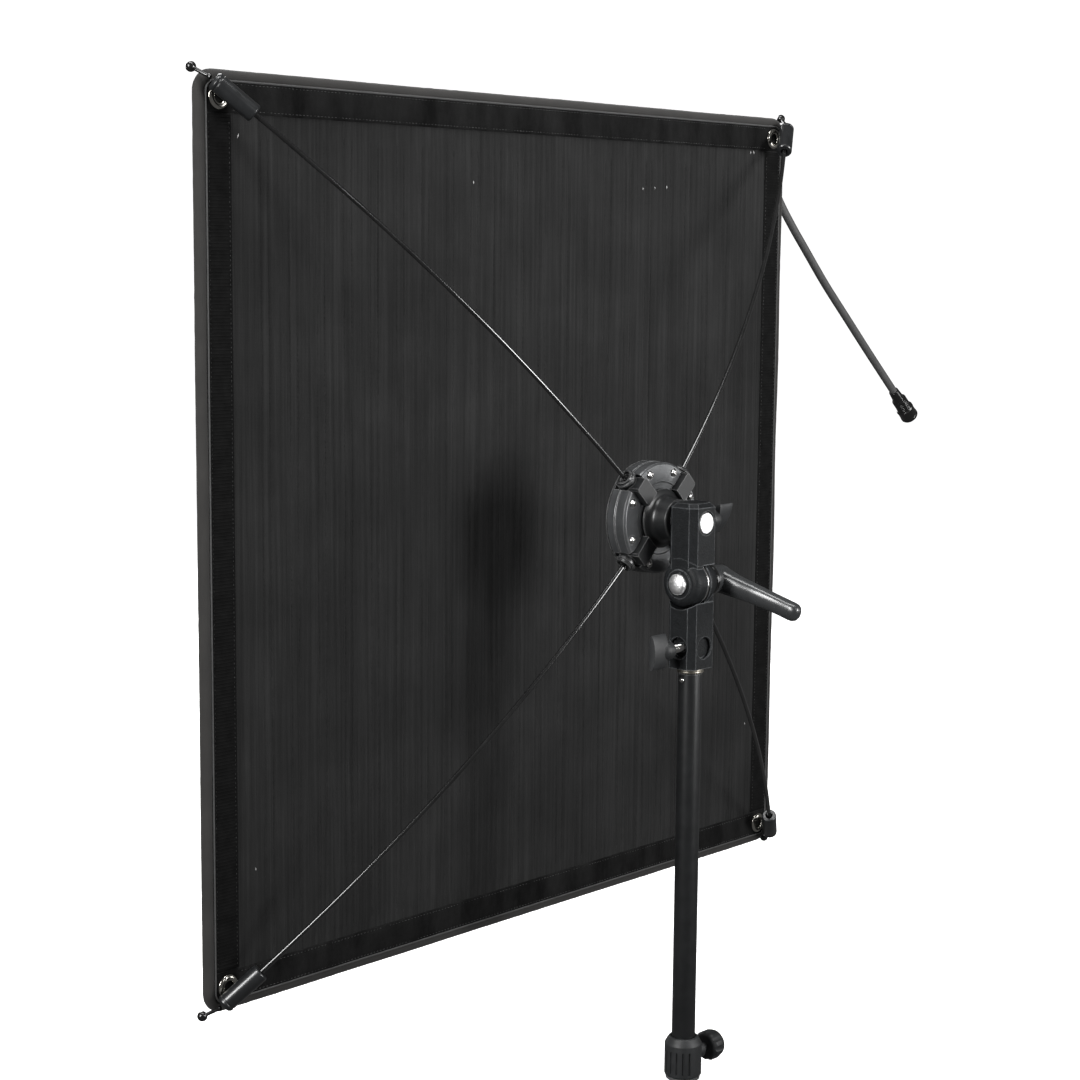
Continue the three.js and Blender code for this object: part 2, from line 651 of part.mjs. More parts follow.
// ---- stand top ----
function standTop() {
  const up = [0, 0, 1];
  const foot = [0, 0, 0];
  const ringLow = BLOCK_Z - GAP - RING_HEIGHT;
  const insideR = TUBE_R - TUBE_WALL - GAP;
  const spigot = [
    [0, ringLow - 26],
    [insideR, ringLow - 26],
    [insideR, ringLow],
    [RING_R - 0.5, ringLow],
    [RING_R, ringLow + 0.6],
    [RING_R, ringLow + RING_HEIGHT - 0.6],
    [RING_R - 0.6, ringLow + RING_HEIGHT],
    [SPINDLE_R, ringLow + RING_HEIGHT],
    [SPINDLE_R, BLOCK_Z + 36],
    [SPINDLE_R - 1.2, BLOCK_Z + 37.2],
    [0, BLOCK_Z + 37.2],
  ];
  piece('riser_spigot', turned(spigot, up, foot, 24), STEEL);

  const tube = ring(TUBE_R - TUBE_WALL, TUBE_R, PLUG_TOP + GAP, ringLow - GAP, up, foot, 24);
  piece('riser_tube', tube, POWDER);

  const screwZ = ringLow - 4.6;
  const screw = turned([[0, 0], [1.8, 0], [1.4, 1.2], [0, 1.5]], [1, 0, 0],
    [TUBE_R + GAP, 0, screwZ], 12);
  piece('spigot_screw', screw, STEEL);

  const collarLow = PLUG_TOP + GAP;
  const inner = TUBE_R + GAP;
  const collar = [
    [inner, collarLow],
    [COLLAR_R, collarLow],
    [COLLAR_R, COLLAR_TOP - 4.5],
    [inner + 1.2, COLLAR_TOP],
    [inner, COLLAR_TOP],
    [inner, collarLow],
  ];
  const lug = drum(6, 10, 19, [-1, 0, 0], [0, 0, COLLAR_KNOB_Z], 24);
  const threadHole = drum(3.2, 0, 25, [-1, 0, 0], [0, 0, COLLAR_KNOB_Z], 16);
  piece('clamp_collar', combine(turned(collar, up, foot, 28), [lug], [
    threadHole, drum(inner, 0, 40, up, foot, 28)]), PLASTIC);

  const grip = [
    [0, 24],
    [8, 24],
    [10.5, 26.5],
    [10.5, 32],
    [8.5, 36.5],
    [5, 38.5],
    [0, 39],
  ];
  const gripSolid = turned(grip, [-1, 0, 0], [0, 0, COLLAR_KNOB_Z], 16);
  const stud = drum(2.8, 8.7, 24.5, [-1, 0, 0], [0, 0, COLLAR_KNOB_Z], 14);
  piece('collar_knob', combine(gripSolid, [stud], []), PLASTIC);

  const plug = [
    [0, 0],
    [11.4, 0],
    [12, 0.6],
    [12, PLUG_TOP],
    [insideR, PLUG_TOP],
    [insideR, 14],
    [0, 14],
  ];
  piece('foot_plug', turned(plug, up, foot, 24), RUBBER);
}

// ---- lead ----
// The lead leaves a moulded block on the front border, near the top corner on the -X side.
// Points are [x, depth behind the mat, height above the panel's centre].
const LEAD_ROUTE = [
  [-295.5, -17, 276],
  [-304, -17, 255],
  [-317, -16, 234],
  [-333, -15, 215],
  [-353, -14, 194],
  [-382, -14, 166],
  [-415, -14, 137],
  [-448, -14, 108],
  [-491, -14, 71],
];

function lead() {
  const route = LEAD_ROUTE.map(([x, depth, z]) => new THREE.Vector3(
    x, PANEL_BACK_Y + depth, PANEL_Z + z));
  const path = new THREE.CatmullRomCurve3(route);
  const section = new THREE.Shape().absarc(0, 0, CABLE_R, 0, Math.PI * 2);
  const options = { steps: LEAD_STEPS, curveSegments: 4, bevelEnabled: false, extrudePath: path };
  piece('lead', new THREE.ExtrudeGeometry(section, options), RUBBER);

  const start = route[0];
  const out = direction(route[1], route[0]);
  const relief = turned([[0, GAP], [4.6, GAP], [5, 4], [6.2, 18], [0, 18]],
    out.toArray(), start.toArray(), 14);
  const housing = roundedOutline(15, 20, 3, new THREE.Shape());
  const block = layer(housing, -GLAND_DEPTH, -PANEL_THICK - GAP).translate(-288.5, 0, 288);
  piece('lead_gland', combine(block, [relief], []), PLASTIC);

  const last = route[route.length - 1];
  const onward = direction(route[route.length - 2], last);
  const plug = [
    [0, GAP],
    [4.4, GAP],
    [5.2, 12],
    [6.6, 13],
    [6.6, 24],
    [8, 24.6],
    [8, 36],
    [7, 37],
    [5.4, 37],
    [5.4, 31],
    [0, 31],
  ];
  piece('lead_connector', turned(plug, onward.toArray(), last.toArray(), 16), GLOSS);
}

panel();
tapes();
eyelets();
hub();
for (const [corner, sx, sz] of CORNERS) {
  const plane = cornerPlane(sx, sz);
  rod(corner, plane);
  sleeveAndTip(corner, plane);
  socket(corner, plane);
}
upperArm();
lowerBlock();
knobs();
lever();
standTop();
lead();

export default light;
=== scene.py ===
"""A flat quilted studio light on a spider of bowed rods, a tilting bracket and a stand top.

Lengths are in millimetres until a mesh is made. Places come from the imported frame."""

from math import cos, floor, pi, radians, sin, sqrt

import bmesh
import bpy
from mathutils import Matrix, Vector, noise


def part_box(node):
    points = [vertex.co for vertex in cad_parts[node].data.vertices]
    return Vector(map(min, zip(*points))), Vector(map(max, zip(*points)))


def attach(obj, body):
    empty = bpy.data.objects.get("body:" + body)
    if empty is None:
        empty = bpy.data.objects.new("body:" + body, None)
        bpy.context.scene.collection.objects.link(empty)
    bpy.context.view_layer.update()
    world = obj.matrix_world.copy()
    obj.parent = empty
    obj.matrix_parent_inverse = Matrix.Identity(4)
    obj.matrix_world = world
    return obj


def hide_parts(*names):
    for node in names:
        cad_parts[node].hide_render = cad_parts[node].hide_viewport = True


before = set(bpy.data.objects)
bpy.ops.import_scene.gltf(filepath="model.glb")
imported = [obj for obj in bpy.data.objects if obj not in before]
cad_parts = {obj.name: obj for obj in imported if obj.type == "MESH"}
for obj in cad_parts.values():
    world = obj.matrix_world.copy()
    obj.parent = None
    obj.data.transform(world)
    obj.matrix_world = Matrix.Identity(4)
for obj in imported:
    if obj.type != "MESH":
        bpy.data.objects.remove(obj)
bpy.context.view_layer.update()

MM = 0.001
X, Y, Z = Vector((1, 0, 0)), Vector((0, 1, 0)), Vector((0, 0, 1))
CORNERS = [("top_left", -1, 1), ("top_right", 1, 1), ("bottom_left", -1, -1), ("bottom_right", 1, -1)]


# ---- places, from the frame ----
def box_mm(node):
    low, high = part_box(node)
    return low / MM, high / MM


def middle_mm(node):
    low, high = box_mm(node)
    return (low + high) / 2


PANEL_LOW, PANEL_HIGH = box_mm("edge_binding")
BACK_Y = PANEL_HIGH.y
FRONT_Y = PANEL_LOW.y
PANEL_Z = (PANEL_LOW.z + PANEL_HIGH.z) / 2
HALF = (PANEL_HIGH.x - PANEL_LOW.x) / 2
HUB_Z = middle_mm("hub_base").z
TILT_Z = middle_mm("tilt_washer").z
BLOCK_Z = box_mm("lower_block")[0].z
KNOB_Z = middle_mm("stand_knob").z
COLLAR_KNOB_Z = middle_mm("collar_knob").z
EYELET_AT = middle_mm("eyelet_top_right").x
HUB_RISE = HUB_Z - PANEL_Z


def in_scene(name, data):
    """A new object, linked to the scene."""
    obj = bpy.data.objects.new(name, data)
    bpy.context.scene.collection.objects.link(obj)
    return obj


# ---- camera ----
def aim_camera(azimuth, elevation, roll, place, lens):
    a, e, r = radians(azimuth), radians(elevation), radians(roll)
    back = Vector((sin(a) * cos(e), -cos(a) * cos(e), sin(e)))
    level = (-back).cross(Z).normalized()
    upright = level.cross(-back)
    right = level * cos(r) + upright * sin(r)
    up = upright * cos(r) - level * sin(r)
    camera = in_scene("camera", bpy.data.cameras.new("camera"))
    camera.data.lens = lens
    camera.data.sensor_width = 36
    camera.matrix_world = Matrix.Translation(place) @ Matrix((right, up, back)).transposed().to_4x4()
    bpy.context.scene.camera = camera


aim_camera(132.77, 7.61, 0.53, Vector((1.1225, 0.897, 0.572)), 70.87)


# ---- mesh helpers: a shape is (vertices, faces) in millimetres ----
WELD_M = 1e-7


def mesh_of(name, shape):
    mesh = bpy.data.meshes.new(name)
    mesh.from_pydata([tuple(Vector(v) * MM) for v in shape[0]], [], shape[1])
    return mesh


def face_outwards(mesh, weld=0.0):
    """Turns every face outwards, after joining the points that are closer than weld metres."""
    build = bmesh.new()
    build.from_mesh(mesh)
    if weld:
        bmesh.ops.remove_doubles(build, verts=build.verts, dist=weld)
    bmesh.ops.recalc_face_normals(build, faces=build.faces)
    build.to_mesh(mesh)
    build.free()


def make_piece(name, shape, material, body, replaced=(), smooth=40):
    return finish_piece(name, mesh_of(name, shape), material, body, replaced, smooth)


def finish_piece(name, mesh, material, body, replaced=(), smooth=40):
    face_outwards(mesh, WELD_M)
    mesh.shade_smooth()
    mesh.set_sharp_from_angle(angle=radians(smooth))
    obj = in_scene(name, mesh)
    obj.data.materials.append(material)
    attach(obj, body)
    if replaced:
        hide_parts(*replaced)
    return obj


def merge(*shapes):
    vertices, faces = [], []
    for shape in shapes:
        start = len(vertices)
        vertices.extend(shape[0])
        faces.extend([tuple(i + start for i in face) for face in shape[1]])
    return vertices, faces


def axis_frame(axis):
    axis = Vector(axis).normalized()
    side = axis.cross(Z if abs(axis.z) < 0.9 else X).normalized()
    return side, axis.cross(side), axis


def soften(profile, radius, steps=4):
    """Rounds the inner corners of an open profile of (radius, along) points."""
    if not radius:
        return list(profile)
    result = [profile[0]]
    for before, here, after in zip(profile, profile[1:], profile[2:]):
        corner = Vector(here)
        back, on = Vector(before) - corner, Vector(after) - corner
        reach = min(radius, back.length * 0.45, on.length * 0.45)
        first, last = corner + back.normalized() * reach, corner + on.normalized() * reach
        for step in range(steps + 1):
            t = step / steps
            point = first * (1 - t) ** 2 + corner * 2 * t * (1 - t) + last * t ** 2
            result.append((point.x, point.y))
    result.append(profile[-1])
    return result


def turned(profile, origin, axis, sides=96, rounding=0.35):
    """A solid of revolution. The profile starts and ends on the axis, or ends where it started."""
    closed = profile[0] == profile[-1]
    points = soften(profile, rounding)
    if closed:
        points = points[:-1]
    side, across, along = axis_frame(axis)
    origin = Vector(origin)
    vertices, rings = [], []
    for radius, distance in points:
        if radius < 1e-6:
            rings.append([len(vertices)] * sides)
            vertices.append(origin + along * distance)
            continue
        rings.append(list(range(len(vertices), len(vertices) + sides)))
        for i in range(sides):
            angle = 2 * pi * i / sides
            around = side * cos(angle) + across * sin(angle)
            vertices.append(origin + along * distance + around * radius)
    pairs = list(zip(rings, rings[1:])) + ([(rings[-1], rings[0])] if closed else [])
    faces = []
    for low, high in pairs:
        for i in range(sides):
            j = (i + 1) % sides
            face = list(dict.fromkeys((low[i], low[j], high[j], high[i])))
            if len(face) > 2:
                faces.append(tuple(face))
    return vertices, faces


def drum(radius, start, end, origin, axis, sides=96, rounding=0.0):
    profile = [(0, start), (radius, start), (radius, end), (0, end)]
    return turned(profile, origin, axis, sides, rounding)


def band(low, high, count):
    """Quads between two rings of points, whose first points are number low and number high."""
    return [(low + k, low + (k + 1) % count, high + (k + 1) % count, high + k) for k in range(count)]


def upright(u, v, w):
    return Vector((u, v, w))


def prism(outline, low, high, place=upright, top=None):
    """From an outline of (u, v) points at w = low to top, or the same again, at w = high.

    place turns (u, v, w) into a point."""
    count = len(outline)
    vertices = [place(u, v, low) for u, v in outline] + [place(u, v, high) for u, v in top or outline]
    ends = [tuple(range(count)), tuple(range(2 * count - 1, count - 1, -1))]
    return vertices, ends + band(0, count, count)


def block(low, high):
    outline = [(low[0], low[1]), (high[0], low[1]), (high[0], high[1]), (low[0], high[1])]
    return prism(outline, low[2], high[2])


def curve_through(points, per_span):
    """A Catmull-Rom curve through the points."""
    points = [Vector(p) for p in points]
    ends = [2 * points[0] - points[1], *points, 2 * points[-1] - points[-2]]
    result = []
    for p0, p1, p2, p3 in zip(ends, ends[1:], ends[2:], ends[3:]):
        for step in range(per_span):
            t = step / per_span
            result.append(0.5 * (2 * p1 + (p2 - p0) * t + (2 * p0 - 5 * p1 + 4 * p2 - p3) * t ** 2
                                 + (3 * p1 - p0 - 3 * p2 + p3) * t ** 3))
    return result + [points[-1]]


def transported(path, start_side, closed=False):
    """(side, up) at each point of a path, turned as little as possible along it."""
    frames, side = [], Vector(start_side)
    for i, point in enumerate(path):
        before = path[i - 1] if i or closed else point
        after = path[(i + 1) % len(path)] if i + 1 < len(path) or closed else point
        tangent = (after - before).normalized()
        side = (side - tangent * side.dot(tangent)).normalized()
        frames.append((side, tangent.cross(side)))
    return frames


def swept(path, section, start_side, closed=False):
    """section(i) gives the (side, up) offsets at point i of the path."""
    frames = transported(path, start_side, closed)
    vertices, count = [], len(section(0))
    for i, (point, (side, up)) in enumerate(zip(path, frames)):
        vertices.extend(point + side * a + up * b for a, b in section(i))
    faces = []
    spans = len(path) if closed else len(path) - 1
    for i in range(spans):
        faces += band(i * count, (i + 1) % len(path) * count, count)
    if not closed:
        faces.append(tuple(range(count)))
        faces.append(tuple(range(len(vertices) - 1, len(vertices) - 1 - count, -1)))
    return vertices, faces


def circle(radius, sides):
    angles = [2 * pi * i / sides for i in range(sides)]
    return [(radius * cos(angle), radius * sin(angle)) for angle in angles]


CUT_TRIES = 30
CUT_SLACK = 0.0001


def bounds_of(points):
    return [(min(p[k] for p in points), max(p[k] for p in points)) for k in range(3)]


def reaches_past(mesh, solids):
    """Whether a mesh goes further than the box of the solids that it was made of."""
    box = bounds_of([Vector(v) * MM for shape in solids for v in shape[0]])
    found = bounds_of([v.co for v in mesh.vertices])
    return any(f[0] < b[0] - CUT_SLACK or f[1] > b[1] + CUT_SLACK for f, b in zip(found, box))


def carved(name, base, added, removed, bevel):
    """Joins and cuts shapes, then bevels what is left. Gives a mesh.

    The exact solver sometimes leaves a cutting tool standing in the result, and not each time that it is
    given the same shapes. Such a tool reaches past the solids, and then the cut is made again."""
    for _ in range(CUT_TRIES):
        mesh = cut_once(name, base, added, removed, bevel)
        if not reaches_past(mesh, [base, *added]):
            break
    return mesh


def cut_once(name, base, added, removed, bevel):
    def raw(label, shape):
        mesh = mesh_of(label, shape)
        face_outwards(mesh)
        return in_scene(label, mesh)

    body = raw(name + "_body", base)
    tools = []
    for operation, shapes in (("UNION", added), ("DIFFERENCE", removed)):
        for shape in shapes:
            tool = raw(name + "_tool", shape)
            tools.append(tool)
            modifier = body.modifiers.new("cut", "BOOLEAN")
            modifier.operation = operation
            modifier.object = tool
            modifier.solver = "EXACT"
    if bevel:
        modifier = body.modifiers.new("bevel", "BEVEL")
        modifier.width = bevel * MM
        modifier.segments = 3
        modifier.limit_method = "ANGLE"
        modifier.angle_limit = radians(32)
    bpy.context.view_layer.update()
    mesh = bpy.data.meshes.new_from_object(body.evaluated_get(bpy.context.evaluated_depsgraph_get()))
    for obj in [body, *tools]:
        bpy.data.objects.remove(obj)
    return mesh


# The angle, in degrees, above which an edge stays sharp on the castings. It is so small that their flats
# stay flat right up to the bevels beside them.
CRISP = 6.5


# ---- materials ----
class Shader:
    """A Principled material with a small set of node recipes, all in object coordinates."""

    def __init__(self, name, roughness, metallic=0.0, **sockets):
        self.material = bpy.data.materials.new(name)
        self.material.use_nodes = True
        self.tree = self.material.node_tree
        self.shader = self.tree.nodes["Principled BSDF"]
        self.shader.inputs["Roughness"].default_value = roughness
        self.shader.inputs["Metallic"].default_value = metallic
        for label, value in sockets.items():
            self.shader.inputs[label.replace("_", " ")].default_value = value
        self.place = self.node("ShaderNodeTexCoord").outputs["Object"]
        self.height = None

    def node(self, kind, **settings):
        made = self.tree.nodes.new(kind)
        for key, value in settings.items():
            setattr(made, key, value)
        return made

    def link(self, source, target):
        self.tree.links.new(source, target)

    def stretched(self, stretch):
        mapping = self.node("ShaderNodeMapping")
        mapping.inputs["Scale"].default_value = stretch
        self.link(self.place, mapping.inputs["Vector"])
        return mapping.outputs["Vector"]

    def noise(self, per_metre, stretch=(1, 1, 1), detail=3.0, rough=0.55):
        made = self.node("ShaderNodeTexNoise")
        made.inputs["Scale"].default_value = per_metre
        made.inputs["Detail"].default_value = detail
        made.inputs["Roughness"].default_value = rough
        self.link(self.stretched(stretch), made.inputs["Vector"])
        return made.outputs["Fac"]

    def pits(self, per_metre, stretch=(1, 1, 1)):
        made = self.node("ShaderNodeTexVoronoi", feature="SMOOTH_F1")
        made.inputs["Scale"].default_value = per_metre
        self.link(self.stretched(stretch), made.inputs["Vector"])
        return made.outputs["Distance"]

    def bands(self, pitch_mm, axis, distortion=0.0):
        """Ridges across an axis, pitch_mm apart."""
        made = self.node("ShaderNodeTexWave", bands_direction=axis)
        made.inputs["Scale"].default_value = 2 * pi / (20 * pitch_mm * MM)
        made.inputs["Distortion"].default_value = distortion
        made.inputs["Detail"].default_value = 1.0
        self.link(self.place, made.inputs["Vector"])
        return made.outputs["Fac"]

    def math(self, operation, a, b):
        made = self.node("ShaderNodeMath", operation=operation)
        for socket, value in zip(made.inputs, (a, b)):
            if isinstance(value, (int, float)):
                socket.default_value = value
            else:
                self.link(value, socket)
        return made.outputs[0]

    def ramp(self, factor, stops):
        made = self.node("ShaderNodeValToRGB")
        elements = made.color_ramp.elements
        while len(elements) < len(stops):
            elements.new(0.5)
        for element, (position, colour) in zip(elements, stops):
            element.position = position
            element.color = (*colour, 1)
        self.link(factor, made.inputs["Fac"])
        return made.outputs["Color"]

    def colour(self, factor, stops):
        self.tint = self.ramp(factor, stops)
        self.link(self.tint, self.shader.inputs["Base Color"])

    def painted_edge_highlights(self, colour, width_mm=0.5, amount=0.6):
        """Painted edge highlights: a lighter colour, in patches, where the rounded-over normal leaves the
        true one.
        """
        rounded = self.node("ShaderNodeBevel", samples=4)
        rounded.inputs["Radius"].default_value = width_mm * MM
        flat = self.node("ShaderNodeNewGeometry").outputs["Normal"]
        alike = self.node("ShaderNodeVectorMath", operation="DOT_PRODUCT")
        self.link(rounded.outputs["Normal"], alike.inputs[0])
        self.link(flat, alike.inputs[1])
        spread = self.node("ShaderNodeMapRange")
        for label, value in (("From Min", 0.995), ("From Max", 0.95), ("To Max", amount)):
            spread.inputs[label].default_value = value
        self.link(alike.outputs["Value"], spread.inputs["Value"])
        patchy = self.math("MULTIPLY", spread.outputs["Result"], self.noise(180))
        mix = self.node("ShaderNodeMix", data_type="RGBA")
        self.link(patchy, mix.inputs["Factor"])
        self.link(self.tint, mix.inputs[6])
        mix.inputs[7].default_value = (*colour, 1)
        self.link(mix.outputs[2], self.shader.inputs["Base Color"])

    def vary_roughness(self, factor, low, high):
        spread = self.node("ShaderNodeMapRange")
        spread.inputs["To Min"].default_value = low
        spread.inputs["To Max"].default_value = high
        self.link(factor, spread.inputs["Value"])
        self.link(spread.outputs["Result"], self.shader.inputs["Roughness"])

    def bump(self, factor, depth_mm, strength=1.0):
        made = self.node("ShaderNodeBump")
        made.inputs["Strength"].default_value = strength
        made.inputs["Distance"].default_value = depth_mm * MM
        self.link(factor, made.inputs["Height"])
        if self.height is not None:
            self.link(self.height, made.inputs["Normal"])
        self.height = made.outputs["Normal"]
        self.link(self.height, self.shader.inputs["Normal"])


def grey(value, warmth=0.0):
    return value * (1 + warmth), value, value * (1 - warmth)


def quilt_fabric():
    s = Shader("quilted_fabric", 0.92, Specular_IOR_Level=0.25, Sheen_Weight=0.06, Sheen_Roughness=0.5)
    weave = s.math("MULTIPLY", s.bands(0.9, "X"), s.bands(0.9, "Z"))
    patches = s.math("MULTIPLY", s.noise(14, detail=4), 0.4)
    streaks = s.noise(330, stretch=(1, 1, 0.015), detail=5, rough=0.7)
    mottled = s.math("ADD", patches, s.math("MULTIPLY", streaks, 0.7))
    mottled = s.math("ADD", mottled, s.math("MULTIPLY", weave, 0.1))
    s.colour(mottled, [(0.44, grey(0.007)), (0.59, grey(0.0145)), (0.72, grey(0.024))])
    s.bump(weave, 0.12, 0.6)
    s.bump(s.noise(420, stretch=(1, 1, 0.02), detail=4), 0.9, 0.8)
    s.bump(s.noise(900), 0.06, 0.5)
    s.vary_roughness(s.noise(60), 0.85, 0.98)
    return s.material


def binding_fabric():
    s = Shader("binding_fabric", 0.88, Sheen_Weight=0.25, Sheen_Roughness=0.4)
    s.colour(s.noise(40, detail=5), [(0.25, grey(0.019, 0.05)), (0.75, grey(0.031, 0.06))])
    s.bump(s.math("ADD", s.bands(0.7, "DIAGONAL"), s.noise(700)), 0.1, 0.6)
    return s.material


def hook_tape():
    s = Shader("hook_tape", 0.95, Specular_IOR_Level=0.08)
    s.colour(s.noise(120, detail=4), [(0.3, grey(0.0055)), (0.8, grey(0.011))])
    s.bump(s.bands(1.1, "Z"), 0.2, 0.6)
    s.bump(s.noise(1500), 0.1, 0.6)
    return s.material


def loop_tape():
    s = Shader("loop_tape", 1.0, Specular_IOR_Level=0.05)
    brushed = s.noise(34, stretch=(1, 1, 0.35), detail=5, rough=0.7)
    s.colour(brushed, [(0.35, grey(0.006)), (0.7, grey(0.02))])
    s.bump(s.noise(1100, detail=5, rough=0.8), 0.35, 0.9)
    return s.material


def thread(name, value):
    s = Shader(name, 0.7, Sheen_Weight=0.2)
    s.colour(s.noise(400), [(0.3, grey(value * 0.8)), (0.7, grey(value * 1.2))])
    s.bump(s.noise(3000), 0.05)
    return s.material


def diffusion_cloth():
    s = Shader("diffusion_cloth", 0.8, Sheen_Weight=0.2, Subsurface_Weight=0.15)
    weave = s.math("MULTIPLY", s.bands(0.5, "X"), s.bands(0.5, "Z"))
    s.colour(s.noise(8), [(0.2, (0.83, 0.83, 0.81)), (0.8, (0.88, 0.88, 0.86))])
    s.bump(weave, 0.06, 0.5)
    return s.material


def board_lacquer():
    s = Shader("board_lacquer", 0.45)
    s.colour(s.noise(30), [(0.3, (0.66, 0.62, 0.5)), (0.7, (0.72, 0.69, 0.58))])
    s.bump(s.noise(400), 0.02)
    return s.material


def powder_coat():
    s = Shader("powder_coat", 0.5, Specular_IOR_Level=0.18)
    s.colour(s.noise(220, detail=4), [(0.3, grey(0.009, -0.08)), (0.75, grey(0.015, -0.08))])
    # lighter edges: a painted highlight, standing in for light caught on the bevels
    s.painted_edge_highlights(grey(0.3, -0.04), 0.9, 0.8)
    s.vary_roughness(s.noise(400), 0.45, 0.6)
    s.bump(s.pits(800), 0.3, 0.7)
    s.bump(s.noise(2600), 0.03, 0.5)
    return s.material


def satin_paint():
    s = Shader("satin_paint", 0.35, Coat_Weight=0.2, Coat_Roughness=0.3)
    s.colour(s.noise(90), [(0.3, grey(0.008, -0.05)), (0.7, grey(0.013, -0.05))])
    # lighter edges: a painted highlight, standing in for light caught on the bevels
    s.painted_edge_highlights(grey(0.25), 0.8, 1.2)
    s.vary_roughness(s.noise(250), 0.28, 0.42)
    s.bump(s.noise(1200), 0.02, 0.4)
    return s.material


def turned_face():
    """Dark metal with fine lathe marks, so that a light is seen as a fan across it."""
    s = Shader("turned_face", 0.27, 0.4, Anisotropic=0.7)
    s.colour(s.noise(90), [(0.3, grey(0.075, -0.03)), (0.7, grey(0.11, -0.03))])
    tangent = s.node("ShaderNodeTangent", direction_type="RADIAL", axis="Y")
    s.link(tangent.outputs["Tangent"], s.shader.inputs["Tangent"])
    # lighter edges: a painted highlight, standing in for light caught on the turned rims
    s.painted_edge_highlights(grey(0.5), 0.8, 1.0)
    s.bump(s.noise(1200), 0.015, 0.4)
    return s.material


def gloss_plastic():
    s = Shader("gloss_plastic", 0.18, Coat_Weight=0.5, Coat_Roughness=0.08)
    s.colour(s.noise(60), [(0.3, grey(0.006)), (0.7, grey(0.009))])
    s.vary_roughness(s.noise(300), 0.14, 0.26)
    s.bump(s.noise(500), 0.02, 0.3)
    return s.material


def satin_lever_paint():
    s = Shader("satin_lever_paint", 0.34, Specular_IOR_Level=0.9)
    s.colour(s.noise(70), [(0.3, grey(0.03, -0.04)), (0.7, grey(0.045, -0.04))])
    s.vary_roughness(s.noise(220), 0.22, 0.34)
    s.bump(s.noise(900), 0.02, 0.4)
    return s.material


def dimpled_steel():
    s = Shader("dimpled_steel", 0.45, 1.0)
    s.colour(s.noise(260, detail=5), [(0.3, grey(0.7, 0.01)), (0.6, grey(1.0, 0))])
    s.vary_roughness(s.noise(500), 0.35, 0.6)
    s.bump(s.pits(1300), 0.25, 0.8)
    return s.material


def moulded_plastic():
    s = Shader("moulded_plastic", 0.5, Specular_IOR_Level=0.5)
    s.colour(s.noise(160, detail=4), [(0.3, grey(0.017, -0.05)), (0.7, grey(0.026, -0.05))])
    s.vary_roughness(s.noise(500), 0.42, 0.6)
    s.bump(s.noise(2200, detail=4), 0.06, 0.6)
    return s.material


def sleeve_plastic():
    s = Shader("sleeve_plastic", 0.3, Coat_Weight=0.4, Coat_Roughness=0.2)
    s.colour(s.noise(120), [(0.3, grey(0.010, -0.06)), (0.7, grey(0.017, -0.06))])
    s.vary_roughness(s.noise(350), 0.25, 0.4)
    s.bump(s.noise(1400), 0.02, 0.4)
    return s.material


def bright_steel():
    s = Shader("bright_steel", 0.22, 1.0, Anisotropic=0.4)
    s.colour(s.noise(200), [(0.3, grey(0.6, 0.01)), (0.7, grey(0.74, 0.02))])
    s.vary_roughness(s.noise(350), 0.16, 0.3)
    s.bump(s.bands(0.12, "X", 1.5), 0.01, 0.25)
    return s.material


def warm_ring_metal():
    s = Shader("warm_ring_metal", 0.3, 1.0)
    s.colour(s.noise(260), [(0.3, (0.42, 0.39, 0.33)), (0.7, (0.62, 0.58, 0.5))])
    s.vary_roughness(s.noise(300), 0.24, 0.42)
    return s.material


def nickel():
    s = Shader("nickel", 0.16, 1.0)
    s.colour(s.noise(250), [(0.3, (0.55, 0.53, 0.48)), (0.7, (0.72, 0.7, 0.65))])
    s.vary_roughness(s.noise(500), 0.1, 0.24)
    s.bump(s.noise(300), 0.03, 0.3)
    return s.material


def rod_lacquer():
    s = Shader("rod_lacquer", 0.2, Coat_Weight=1.0, Coat_Roughness=0.08)
    s.colour(s.noise(50), [(0.3, grey(0.006)), (0.7, grey(0.011))])
    s.vary_roughness(s.noise(140), 0.15, 0.28)
    s.bump(s.noise(700), 0.008, 0.3)
    return s.material


def cable_rubber():
    s = Shader("cable_rubber", 0.5)
    s.colour(s.noise(150), [(0.3, grey(0.075)), (0.7, grey(0.1))])
    s.vary_roughness(s.noise(400), 0.5, 0.7)
    s.bump(s.noise(1800), 0.03, 0.5)
    return s.material


QUILT = quilt_fabric()
BINDING = binding_fabric()
HOOK = hook_tape()
LOOP = loop_tape()
DARK_THREAD = thread("dark_thread", 0.007)
GREY_THREAD = thread("grey_thread", 0.05)
PALE_THREAD = thread("pale_thread", 0.45)
CLOTH = diffusion_cloth()
BOARD = board_lacquer()
POWDER = powder_coat()
PAINT = satin_paint()
TURNED = turned_face()
GLOSS = gloss_plastic()
LEVER_PAINT = satin_lever_paint()
DIMPLED = dimpled_steel()
MOULDED = moulded_plastic()
SLEEVE = sleeve_plastic()
STEEL = bright_steel()
RING = warm_ring_metal()
NICKEL = nickel()
ROD = rod_lacquer()
RUBBER = cable_rubber()


# ---- lead ----
# The route of the lead in (x, depth behind the mat, height above the panel's centre), as in the frame.
LEAD_ROUTE = [
    (-295.5, -17, 276),
    (-304, -17, 255),
    (-317, -16, 234),
    (-333, -15, 215),
    (-353, -14, 194),
    (-382, -14, 166),
    (-415, -14, 137),
    (-448, -14, 108),
    (-491, -14, 71),
]
CABLE_R = 3.4
GLAND_DEPTH = 20


